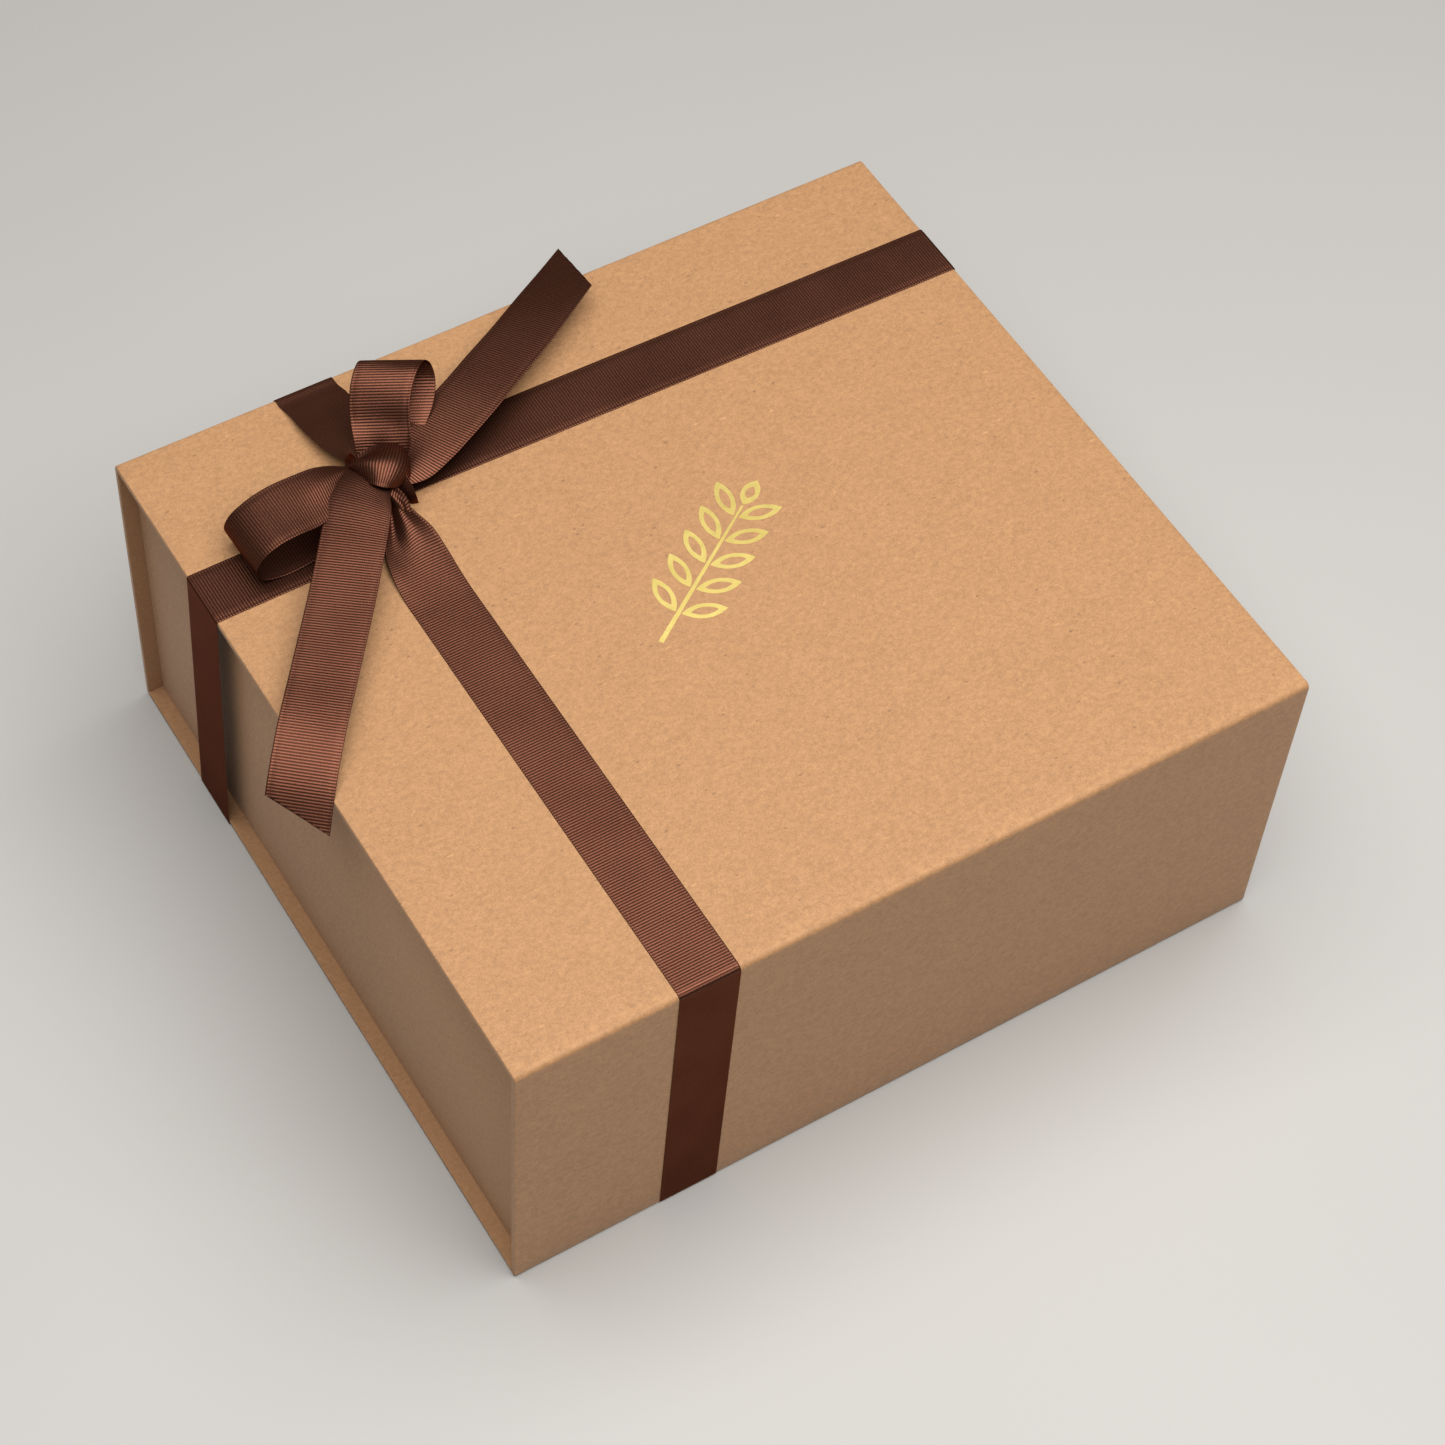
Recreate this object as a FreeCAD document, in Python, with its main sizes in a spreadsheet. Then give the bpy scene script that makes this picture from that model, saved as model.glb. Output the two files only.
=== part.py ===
import FreeCAD, Part
import math
import os
import Sketcher

# A magnetic-closing gift box in the book style, tied with ribbon. Lengths are in millimetres.
# Origin: centre of the box on the surface it stands on. +Z is up, the front flap faces -Y.
# The case (base, spine, lid and flap boards under one kraft wrap) folds round a glued-in tray.

doc = FreeCAD.newDocument("giftBox")
sheet = doc.addObject("Spreadsheet::Sheet", "sizes")

drivingSizes = {
    # case
    "boxWidth": 300.0,
    "boxDepth": 275.0,
    "boxHeight": 130.0,
    "boardThick": 2.0,
    "wrapThick": 0.2,
    "linerThick": 0.15,
    "foldRadius": 2.0,       # inside radius of the paper round a fold
    "foldGap": 0.3,          # board edge to the start of a moving fold
    "foldTrim": 8.0,         # degrees left off each end of a fold strip
    "flapGap": 0.3,          # flap's lining to the front of the tray
    "flapLift": 0.3,         # flap's lower edge above the underside
    # tray
    "trayInset": 5.5,        # case edge to the tray's side
    "trayGap": 0.35,         # lid's lining to the tray's rim
    "stayThick": 0.1,
    "stayLeg": 20.0,
    # magnets
    "magnetRadius": 6.0,
    "magnetThick": 1.5,
    "magnetPlay": 0.1,
    "magnetSpread": 105.0,   # each side of the middle
    "magnetHeight": 45.0,    # above the surface
    # ribbon: where each length crosses an edge, from the left or the back edge of the box
    "ribbonWidth": 22.0,
    "ribbonThick": 0.4,
    "dropGap": 0.1,          # side drops to the lid's edges
    "longAtLeft": 66.5,
    "longAtRight": 51.9,
    "lowAtLeft": 56.5,
    "lowAtRight": 53.5,
    "shortAtFront": 68.8,
    "shortAtBack": 71.0,
    "lowAtFront": 66.7,
    "lowAtBack": 70.0,
    # bow, from the back left corner of the lid
    "knotFromLeft": 73.0,
    "knotFromBack": 55.5,
    "knotWidth": 20.0,
    "knotTall": 15.5,
    "knotRound": 5.0,
    "bowClear": 0.3,         # between soft pieces that lie near each other
    "leftLoopReach": 39.0,   # knot end to the middle of the round end
    "leftLoopRound": 8.9,
    "leftLoopSide": 61.0,    # middle of the loop's width, from the back edge
    "backLoopReach": 18.5,
    "backLoopRound": 6.5,
    "backLoopHeading": 62.0,
    "backLoopRise": 36.0,
    "backLoopAside": 3.5,    # to the right of the knot's middle
    "backLoopBehind": 4.8,   # behind the knot's back
    "backLoopLift": 10.0,    # above the long ribbon
    "loopPinch": 2.0,
    "leftTailHeading": 230.0,
    "leftTailOut": 2.0,      # in front of the knot
    "leftTailSlant": 10.0,
    "backTailHeading": 32.4,
    "backTailOut": 7.0,      # to the right of the knot
    "backTailNear": 2.7,     # in front of the knot's middle
    "backTailLift": 11.0,    # above the long ribbon
    "backTailSlant": 7.0,
    # where the two short lengths leave the lid to climb to the knot
    "frontRamp": 20.0,
    "frontClimb": 4.0,
    "backRamp": 14.0,
    "backClimb": 3.4,
    # foil sprig on the lid
    "foilThick": 0.05,
    "sprigX": 4.0,
    "sprigY": 3.5,
    "sprigReach": 76.0,
    "sprigTilt": 34.0,
    "stemWidth": 1.2,
    "leafLength": 17.0,
    "leafWidth": 6.4,
    "leafPairs": 5,
    "leafFirst": 15.0,       # along the stem
    "leafStep": 12.0,
    "leafSpread": 52.0,      # degrees from the stem, less for each pair towards the tip
    "leafClosing": 4.0,
}

for row, (name, value) in enumerate(drivingSizes.items(), start=1):
    sheet.set(f"A{row}", name)
    sheet.set(f"B{row}", str(value))
    sheet.setAlias(f"B{row}", name)
doc.recompute()

# Planes of the case, as expressions of the sheet
left = "(-sizes.boxWidth / 2)"
right = "(sizes.boxWidth / 2)"
front = "(-sizes.boxDepth / 2)"
back = "(sizes.boxDepth / 2)"
bottom = "sizes.ribbonThick"
top = "(sizes.ribbonThick + sizes.boxHeight)"
wrap = "sizes.wrapThick"
board = "sizes.boardThick"
liner = "sizes.linerThick"
foldRound = "max(sizes.foldRadius; sizes.boardThick)"  # a fold is never tighter than its boards
fold = f"(sizes.wrapThick + {foldRound})"
boardLeft = f"({left} + {wrap})"
boardRight = f"({right} - {wrap})"
foldFront = f"({front} + {fold})"
foldBack = f"({back} - {fold})"
foldTop = f"({top} - {fold})"
foldBottom = f"({bottom} + {fold})"
lidUnder = f"({top} - {wrap} - {board})"
lidLined = f"({lidUnder} - {liner})"
baseUpper = f"({bottom} + {wrap} + {board})"
baseLined = f"({baseUpper} + {liner})"
spineInner = f"({back} - {wrap} - {board})"
spineLined = f"({spineInner} - {liner})"
flapInner = f"({front} + {wrap} + {board})"
flapLined = f"({flapInner} + {liner})"
flapLow = f"({bottom} + sizes.flapLift)"
edgeTop = f"({foldTop} - sizes.foldGap)"

# Planes of the tray: its skin, then its walls inside the skin and the corner stays
traySkin = f"({wrap} + sizes.stayThick)"
trayLeft = f"({left} + sizes.trayInset)"
trayRight = f"({right} - sizes.trayInset)"
trayFront = f"({flapLined} + sizes.flapGap)"
trayBack = spineLined
trayTop = f"({lidLined} - sizes.trayGap)"
wallLeft = f"({trayLeft} + {traySkin})"
wallRight = f"({trayRight} - {traySkin})"
wallFront = f"({trayFront} + {traySkin})"
wallBack = f"({trayBack} - {traySkin})"
wallTop = f"({trayTop} - {wrap})"
roomLeft = f"({wallLeft} + {board})"
roomRight = f"({wallRight} - {board})"
roomFront = f"({wallFront} + {board})"
roomBack = f"({wallBack} - {board})"
floorTop = f"({baseLined} + {board})"

over = "1"  # how far a cutting body runs past the face it opens

nodes = []


def val(expression):
    return float(sheet.evalExpression(expression.replace("sizes.", "")))


def node(item):
    nodes.append(item)
    return item


def box(label, x, y, z):
    """x, y and z are (low, high) pairs of expressions."""
    item = doc.addObject("Part::Box", label)
    for side, (low, high) in zip(("Length", "Width", "Height"), (x, y, z)):
        item.setExpression(side, f"({high}) - ({low})")
    for axis, (low, high) in zip("xyz", (x, y, z)):
        item.setExpression(f"Placement.Base.{axis}", low)
    return item


def cut(label, base, tool):
    item = doc.addObject("Part::Cut", label)
    item.Base = base
    item.Tool = tool
    return item


def group(label, items):
    item = doc.addObject("Part::Compound", label)
    item.Links = items
    return item


# ---- case -------------------------------------------------------------------------------------

def foldArc(label, y, z, firstAngle, trim):
    """Quarter round of paper along X. firstAngle is where it starts, from +Y towards +Z."""
    rounds = []
    for name, radius in (("Outer", fold), ("Inner", foldRound)):
        item = doc.addObject("Part::Cylinder", label + name)
        item.Placement.Rotation = FreeCAD.Rotation(FreeCAD.Matrix(
            0, 0, 1, 0,
            1, 0, 0, 0,
            0, 1, 0, 0))
        item.setExpression("Radius", radius)
        item.setExpression("Height", f"{right} - {left}")
        item.setExpression("Placement.Base.x", left)
        item.setExpression("Placement.Base.y", y)
        item.setExpression("Placement.Base.z", z)
        rounds.append(item)
    outer, inner = rounds
    outer.setExpression("Angle", f"90 - 2 * {trim}")
    turned = FreeCAD.Rotation(FreeCAD.Vector(1, 0, 0), firstAngle + val(trim))
    outer.Placement.Rotation = turned * outer.Placement.Rotation
    return cut(label, outer, inner)


def makeBase():
    node(box("base_board", (boardLeft, boardRight), (f"{trayFront} + {wrap}", foldBack),
             (f"{bottom} + {wrap}", baseUpper)))
    node(box("base_liner", (boardLeft, boardRight), (f"{trayFront} + {wrap}", spineInner),
             (baseUpper, baseLined)))
    skin = box("baseSkin", (left, right), (trayFront, foldBack), (bottom, baseUpper))
    inside = box("baseSkinInside", (boardLeft, boardRight), (f"{trayFront} + {wrap}", back),
                 (f"{bottom} + {wrap}", f"{baseUpper} + {over}"))
    node(cut("base_wrap", skin, inside))


def makeSpine():
    node(box("spine_board", (boardLeft, boardRight), (spineInner, f"{back} - {wrap}"),
             (foldBottom, edgeTop)))
    node(box("spine_liner", (boardLeft, boardRight), (spineLined, spineInner),
             (baseLined, trayTop)))
    skin = box("spineSkin", (left, right), (spineInner, back), (foldBottom, edgeTop))
    inside = box("spineSkinInside", (boardLeft, boardRight),
                 (f"{spineInner} - {over}", f"{back} - {wrap}"),
                 (bottom, top))
    flat = cut("spineSkinFlat", skin, inside)
    corner = foldArc("spineCorner", foldBack, foldBottom, -90, "0")
    joined = doc.addObject("Part::Fuse", "spine_wrap")
    joined.Base = flat
    joined.Tool = corner
    node(joined)


def makeLid():
    node(box("lid_board", (boardLeft, boardRight), (foldFront, foldBack),
             (lidUnder, f"{top} - {wrap}")))
    node(box("lid_liner", (boardLeft, boardRight), (foldFront, foldBack), (lidLined, lidUnder)))
    skin = box("lidSkin", (left, right), (foldFront, foldBack), (lidUnder, top))
    inside = box("lidSkinInside", (boardLeft, boardRight), (front, back),
                 (f"{lidUnder} - {over}", f"{top} - {wrap}"))
    node(cut("lid_wrap", skin, inside))
    node(foldArc("lid_fold_strip", foldBack, foldTop, 0, "sizes.foldTrim"))
    node(foldArc("flap_fold_strip", foldFront, foldTop, 90, "sizes.foldTrim"))


def makeFlap():
    boardLow = f"({flapLow} + {wrap})"
    blank = box("flapBlank", (boardLeft, boardRight), (f"{front} + {wrap}", flapInner),
                (boardLow, edgeTop))
    magnets, pockets = magnetPair("flap", flapInner, f"{flapInner} - sizes.magnetThick")
    node(cut("flap_board", blank, pockets))
    node(magnets)
    node(box("flap_liner", (boardLeft, boardRight), (flapInner, flapLined), (boardLow, edgeTop)))
    skin = box("flapSkin", (left, right), (front, flapInner), (flapLow, edgeTop))
    inside = box("flapSkinInside", (boardLeft, boardRight),
                 (f"{front} + {wrap}", f"{flapInner} + {over}"),
                 (boardLow, f"{edgeTop} + {over}"))
    node(cut("flap_wrap", skin, inside))


def magnetPair(name, face, bed):
    """Two discs let into a board, flush with its face, and the pockets that hold them."""
    discs = []
    pockets = []
    for side, sign in (("Left", "-"), ("Right", "")):
        for kind, play, items in (("Disc", "0", discs), ("Pocket", "sizes.magnetPlay", pockets)):
            item = doc.addObject("Part::Cylinder", name + kind + side)
            item.Placement.Rotation = FreeCAD.Rotation(FreeCAD.Vector(1, 0, 0), -90)
            item.setExpression("Radius", f"sizes.magnetRadius + {play}")
            item.setExpression("Height", "sizes.magnetThick")
            item.setExpression("Placement.Base.x", f"{sign}sizes.magnetSpread")
            item.setExpression("Placement.Base.y", f"min({face}; {bed})")
            item.setExpression("Placement.Base.z", "sizes.magnetHeight")
            items.append(item)
    return group(name + "_magnets", discs), group(name + "Pockets", pockets)


# ---- tray -------------------------------------------------------------------------------------

def makeTray():
    walls = {
        "tray_back_wall": ((wallLeft, wallRight), (roomBack, wallBack)),
        "tray_left_wall": ((wallLeft, roomLeft), (roomFront, roomBack)),
        "tray_right_wall": ((roomRight, wallRight), (roomFront, roomBack)),
    }
    for label, (x, y) in walls.items():
        node(box(label, x, y, (baseLined, wallTop)))
    blank = box("frontWallBlank", (wallLeft, wallRight), (wallFront, roomFront), (baseLined, wallTop))
    magnets, pockets = magnetPair("tray", wallFront, f"{wallFront} + sizes.magnetThick")
    node(cut("tray_front_wall", blank, pockets))
    node(magnets)
    node(box("tray_floor", (roomLeft, roomRight), (roomFront, roomBack), (baseLined, floorTop)))
    makeTraySkin()
    makeTrayLiner()
    makeCornerStays()


def makeTraySkin():
    skin = box("traySkin", (trayLeft, trayRight), (trayFront, trayBack), (baseLined, trayTop))
    hollow = box("traySkinHollow", (f"{trayLeft} + {wrap}", f"{trayRight} - {wrap}"),
                 (f"{trayFront} + {wrap}", f"{trayBack} - {wrap}"),
                 (f"{baseLined} - {over}", wallTop))
    mouth = box("traySkinMouth", (roomLeft, roomRight), (roomFront, roomBack),
                (baseLined, f"{trayTop} + {over}"))
    node(cut("tray_wrap", cut("traySkinShell", skin, hollow), mouth))


def makeTrayLiner():
    lining = box("trayLining", (roomLeft, roomRight), (roomFront, roomBack), (floorTop, wallTop))
    room = box("trayRoom", (f"{roomLeft} + {liner}", f"{roomRight} - {liner}"),
               (f"{roomFront} + {liner}", f"{roomBack} - {liner}"),
               (f"{floorTop} + {liner}", f"{wallTop} + {over}"))
    node(cut("tray_liner", lining, room))


def makeCornerStays():
    stay = "sizes.stayThick"
    leg = "sizes.stayLeg"
    ring = box("stayRing", (f"{wallLeft} - {stay}", f"{wallRight} + {stay}"),
               (f"{wallFront} - {stay}", f"{wallBack} + {stay}"), (baseLined, wallTop))
    core = box("stayCore", (wallLeft, wallRight), (wallFront, wallBack), (bottom, top))
    corners = []
    for xName, x in (("Left", (left, f"{wallLeft} + {leg}")), ("Right", (f"{wallRight} - {leg}", right))):
        for yName, y in (("Front", (front, f"{wallFront} + {leg}")), ("Back", (f"{wallBack} - {leg}", back))):
            corners.append(box("stayCorner" + xName + yName, x, y, (bottom, top)))
    item = doc.addObject("Part::Common", "corner_stays")
    item.Base = cut("stayTape", ring, core)
    item.Tool = group("stayCorners", corners)
    node(item)


# ---- flat ribbon ------------------------------------------------------------------------------

def outlineSketch(body, plane, corners):
    """Closed outline of straight edges. Each corner is a pair of expressions."""
    sketch = body.newObject("Sketcher::SketchObject", body.Label + "Outline")
    planeItem = [item for item in body.Origin.OriginFeatures if item.Role == plane][0]
    sketch.AttachmentSupport = [(planeItem, "")]
    sketch.MapMode = "FlatFace"
    points = [FreeCAD.Vector(val(u), val(v), 0) for u, v in corners]
    count = len(points)
    for index in range(count):
        sketch.addGeometry(Part.LineSegment(points[index], points[(index + 1) % count]), False)
    for index in range(count):
        sketch.addConstraint(Sketcher.Constraint("Coincident", index, 2, (index + 1) % count, 1))
    for index, (u, v) in enumerate(corners):
        for kind, name, text, value in (("DistanceX", "u", u, points[index].x),
                                        ("DistanceY", "v", v, points[index].y)):
            number = sketch.addConstraint(Sketcher.Constraint(kind, -1, 1, index, 1, value))
            sketch.renameConstraint(number, f"{name}{index}")
            sketch.setExpression(f"Constraints.{name}{index}", text)
    return sketch


def band(label, plane, ends, shift):
    """A flat length of ribbon. ends gives (middle across, along) at its two ends."""
    half = "sizes.ribbonWidth / 2"
    (across0, along0), (across1, along1) = ends
    corners = [
        (f"{across0} - {half}", along0),
        (f"{across0} + {half}", along0),
        (f"{across1} + {half}", along1),
        (f"{across1} - {half}", along1),
    ]
    if plane == "XY_Plane_long":
        corners = [(along, across) for across, along in corners]
    body = doc.addObject("PartDesign::Body", label)
    sketch = outlineSketch(body, plane.replace("_long", ""), corners)
    pad = body.newObject("PartDesign::Pad", label + "Pad")
    pad.Profile = sketch
    pad.setExpression("Length", "sizes.ribbonThick")
    body.Tip = pad
    axis, place = shift
    body.setExpression(f"Placement.Base.{axis}", place)
    return body


longLeftY = f"({back} - sizes.longAtLeft)"
longRightY = f"({back} - sizes.longAtRight)"
lowLeftY = f"({back} - sizes.lowAtLeft)"
lowRightY = f"({back} - sizes.lowAtRight)"
shortFrontX = f"({left} + sizes.shortAtFront)"
shortBackX = f"({left} + sizes.shortAtBack)"
lowFrontX = f"({left} + sizes.lowAtFront)"
lowBackX = f"({left} + sizes.lowAtBack)"


def makeRibbonBands():
    ribbon = "sizes.ribbonThick"
    reach = f"(sizes.dropGap + {ribbon})"
    node(band("ribbon_lid_long", "XY_Plane_long", ((longLeftY, left), (longRightY, right)), ("z", top)))
    node(band("ribbon_left_drop", "YZ_Plane", ((lowLeftY, bottom), (longLeftY, top)),
              ("x", f"{left} - {reach}")))
    node(band("ribbon_right_drop", "YZ_Plane", ((lowRightY, bottom), (longRightY, top)),
              ("x", f"{right} + sizes.dropGap")))
    node(band("ribbon_back_drop", "XZ_Plane", ((lowBackX, bottom), (shortBackX, edgeTop)),
              ("y", f"{back} + {ribbon}")))
    node(band("ribbon_front_drop", "XZ_Plane", ((lowFrontX, flapLow), (shortFrontX, edgeTop)),
              ("y", front)))
    under = doc.addObject("Part::Fuse", "ribbon_under")
    under.Base = band("underLong", "XY_Plane_long",
                      ((lowLeftY, f"{left} - {reach}"), (lowRightY, f"{right} + {reach}")), ("z", "0"))
    under.Tool = band("underShort", "XY_Plane",
                      ((lowFrontX, f"{front} - {ribbon}"), (lowBackX, f"{back} + {ribbon}")), ("z", "0"))
    under.Refine = True
    node(under)


# ---- shaped ribbon and bow --------------------------------------------------------------------

def shapeNode(label, shape, place, heading, rise=0):
    """Puts a shape drawn in its own X-Z plane at place, turned to heading and tilted up by rise."""
    item = doc.addObject("Part::Feature", label)
    item.Shape = shape
    turn = FreeCAD.Rotation(FreeCAD.Vector(0, 0, 1), heading)
    tilt = FreeCAD.Rotation(FreeCAD.Vector(0, 1, 0), -rise)
    item.Placement = FreeCAD.Placement(place, turn * tilt)
    return node(item)


def strip(path, slant=0):
    """Ribbon along a path of (distance, height) points. slant cuts its right side shorter."""
    thick = val("sizes.ribbonThick")
    width = val("sizes.ribbonWidth")
    points = [FreeCAD.Vector(s, -width / 2, h) for s, h in path]
    sides = ([], [])
    for index, point in enumerate(points):
        ahead = points[min(index + 1, len(points) - 1)] - points[max(index - 1, 0)]
        normal = FreeCAD.Vector(-ahead.z, 0, ahead.x).normalize() * (thick / 2)
        sides[0].append(point + normal)
        sides[1].append(point - normal)
    outline = sides[0] + sides[1][::-1]
    face = Part.Face(Part.makePolygon(outline + outline[:1]))
    solid = face.extrude(FreeCAD.Vector(0, width, 0))
    if slant:
        reach, drop = path[-1]
        corners = ((reach - slant, -1), (reach, 1), (reach + width, 1), (reach + width, -1))
        wedge = [FreeCAD.Vector(s, side * width / 2, drop - width) for s, side in corners]
        cutter = Part.Face(Part.makePolygon(wedge + wedge[:1])).extrude(FreeCAD.Vector(0, 0, 2 * width))
        solid = solid.cut(cutter).Solids[0]
    return solid


def loopRing(reach, roundEnd, pinch):
    """Ribbon loop seen from its side: two straight runs from a pinched end to a round end."""
    width = val("sizes.ribbonWidth")
    thick = val("sizes.ribbonThick")

    def belt(inset):
        small = pinch - inset
        large = roundEnd - inset
        lean = math.asin((large - small) / reach)
        up = FreeCAD.Vector(-math.sin(lean), 0, math.cos(lean))
        down = FreeCAD.Vector(up.x, 0, -up.z)
        near = FreeCAD.Vector(0, -width / 2, 0)
        far = FreeCAD.Vector(reach, -width / 2, 0)
        ahead = FreeCAD.Vector(1, 0, 0)
        return Part.Wire([
            Part.LineSegment(near + up * small, far + up * large).toShape(),
            Part.Arc(far + up * large, far + ahead * large, far + down * large).toShape(),
            Part.LineSegment(far + down * large, near + down * small).toShape(),
            Part.Arc(near + down * small, near - ahead * small, near + up * small).toShape(),
        ])

    ring = Part.Face(belt(0)).cut(Part.Face(belt(thick)))
    return ring.extrude(FreeCAD.Vector(0, width, 0)).Solids[0]


def makeShortBands():
    """The front and back lengths on the lid, each lifting over the long one towards the knot."""
    half = val("sizes.ribbonThick") / 2
    clear = val("sizes.bowClear")
    knotY = val(f"{back} - sizes.knotFromBack")
    halfKnot = val("sizes.knotWidth") / 2
    middleX = (val(shortFrontX) + val(shortBackX)) / 2
    runs = (
        ("ribbon_lid_front", "front", middleX, val(foldFront), knotY - halfKnot - clear, 90),
        ("ribbon_lid_back", "back", val(shortBackX), val(foldBack), knotY + halfKnot + clear, -90),
    )
    for label, side, x, start, end, heading in runs:
        reach = abs(end - start)
        ramp = val(f"sizes.{side}Ramp")
        climb = val(f"sizes.{side}Climb")
        path = [(0, half), (reach - ramp, half), (reach - ramp / 2, half + climb / 3), (reach, half + climb)]
        shapeNode(label, strip(path), FreeCAD.Vector(x, start, val(top)), heading)


def makeKnot():
    halfWidth = "sizes.knotWidth / 2"
    body = doc.addObject("PartDesign::Body", "bow_knot")
    corners = [(f"{side}{halfWidth}", f"{end}{halfWidth}") for side, end in ("--", "+-", "++", "-+")]
    corners = [(u.lstrip("+"), v.lstrip("+")) for u, v in corners]
    pad = body.newObject("PartDesign::Pad", "knotPad")
    pad.Profile = outlineSketch(body, "XY_Plane", corners)
    pad.setExpression("Length", "sizes.knotTall")
    doc.recompute()
    rounded = body.newObject("PartDesign::Fillet", "knotRounding")
    rounded.Base = (pad, [f"Edge{number}" for number in range(1, 13)])
    rounded.setExpression("Radius", "sizes.knotRound")
    body.Tip = rounded
    body.setExpression("Placement.Base.x", f"{left} + sizes.knotFromLeft")
    body.setExpression("Placement.Base.y", f"{back} - sizes.knotFromBack")
    body.setExpression("Placement.Base.z", f"{top} + sizes.ribbonThick + sizes.bowClear")
    node(body)


def makeBow():
    makeKnot()
    clear = val("sizes.bowClear")
    thick = val("sizes.ribbonThick")
    pinch = val("sizes.loopPinch")
    knotX = val(f"{left} + sizes.knotFromLeft")
    knotY = val(f"{back} - sizes.knotFromBack")
    halfKnot = val("sizes.knotWidth") / 2
    bandTop = val(f"{top} + sizes.ribbonThick")
    knotTop = bandTop + clear + val("sizes.knotTall")

    roundEnd = val("sizes.leftLoopRound")
    place = FreeCAD.Vector(knotX - halfKnot - pinch - clear, val(f"{back} - sizes.leftLoopSide"),
                           bandTop + clear + roundEnd)
    shapeNode("bow_loop_left", loopRing(val("sizes.leftLoopReach"), roundEnd, pinch), place, 180)

    place = FreeCAD.Vector(knotX + val("sizes.backLoopAside"),
                           knotY + halfKnot + val("sizes.backLoopBehind"),
                           bandTop + val("sizes.backLoopLift"))
    shapeNode("bow_loop_back", loopRing(val("sizes.backLoopReach"), val("sizes.backLoopRound"), pinch),
              place, val("sizes.backLoopHeading"), val("sizes.backLoopRise"))

    # Left tail: down off the knot, level over the lid, then drooping past the left edge
    path = [(0, 0), (38, -3.6), (70, -5.2), (96, -8), (112, -14.5), (124, -22.5)]
    place = FreeCAD.Vector(knotX - halfKnot, knotY - halfKnot - val("sizes.leftTailOut"),
                           knotTop + clear + thick)
    shapeNode("bow_tail_left", strip(path, val("sizes.leftTailSlant")), place,
              val("sizes.leftTailHeading"))

    # Back tail: nearly level, its tip just past the back edge
    path = [(0, 0), (32, -1.2), (68, -1.6), (100, -3.4), (117, -5.6)]
    place = FreeCAD.Vector(knotX + halfKnot + val("sizes.backTailOut"),
                           knotY - val("sizes.backTailNear"), bandTop + val("sizes.backTailLift"))
    shapeNode("bow_tail_back", strip(path, val("sizes.backTailSlant")), place,
              val("sizes.backTailHeading"))


# ---- foil sprig -------------------------------------------------------------------------------

def makeSprig():
    """A stem with paired leaves, each a pointed oval, stamped on the middle of the lid."""
    reach = val("sizes.sprigReach")
    length = val("sizes.leafLength")
    bulge = val("sizes.leafWidth") / 2
    halfStem = val("sizes.stemWidth") / 2
    thick = FreeCAD.Vector(0, 0, val("sizes.foilThick"))
    stem = Part.makeBox(reach, 2 * halfStem, thick.z, FreeCAD.Vector(-reach / 2, -halfStem, 0))
    tip = FreeCAD.Vector(length, 0, 0)
    edges = [Part.Arc(FreeCAD.Vector(0, 0, 0), FreeCAD.Vector(length / 2, side * bulge, 0), tip).toShape()
             for side in (1, -1)]
    leaf = Part.Face(Part.Wire(edges)).extrude(thick)
    pieces = []
    for index in range(int(val("sizes.leafPairs"))):
        along = val(f"sizes.leafFirst + {index} * sizes.leafStep") - reach / 2
        spread = val(f"sizes.leafSpread - {index} * sizes.leafClosing")
        for side in (1, -1):
            copy = leaf.copy()
            copy.rotate(FreeCAD.Vector(0, 0, 0), FreeCAD.Vector(0, 0, 1), side * spread)
            copy.translate(FreeCAD.Vector(along, 0, 0))
            pieces.append(copy)
    solid = stem.fuse(pieces).removeSplitter()
    place = FreeCAD.Vector(val("sizes.sprigX"), val("sizes.sprigY"), val(top))
    shapeNode("foil_sprig", solid, place, val("sizes.sprigTilt"))


def checkAndWrite():
    doc.recompute()
    for item in doc.Objects:
        if "Invalid" in item.State or "Error" in item.State:
            raise RuntimeError(f"{item.Label} failed to build: {item.State}")
    os.makedirs("parts", exist_ok=True)
    for item in nodes:
        shape = item.Shape
        if shape.isNull() or not shape.isValid() or not shape.Solids:
            raise RuntimeError(f"{item.Label} has no valid solid")
        shape.exportStep(f"parts/{item.Label}.step")
        print(f"{item.Label}: {len(shape.Solids)} solid(s), {shape.Volume:.1f} mm3")


makeBase()
makeSpine()
makeLid()
makeFlap()
makeTray()
makeRibbonBands()
makeShortBands()
makeBow()
makeSprig()
checkAndWrite()
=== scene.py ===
import math

import bmesh
import bpy
import numpy as np
from mathutils import Matrix, Vector, noise


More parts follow.
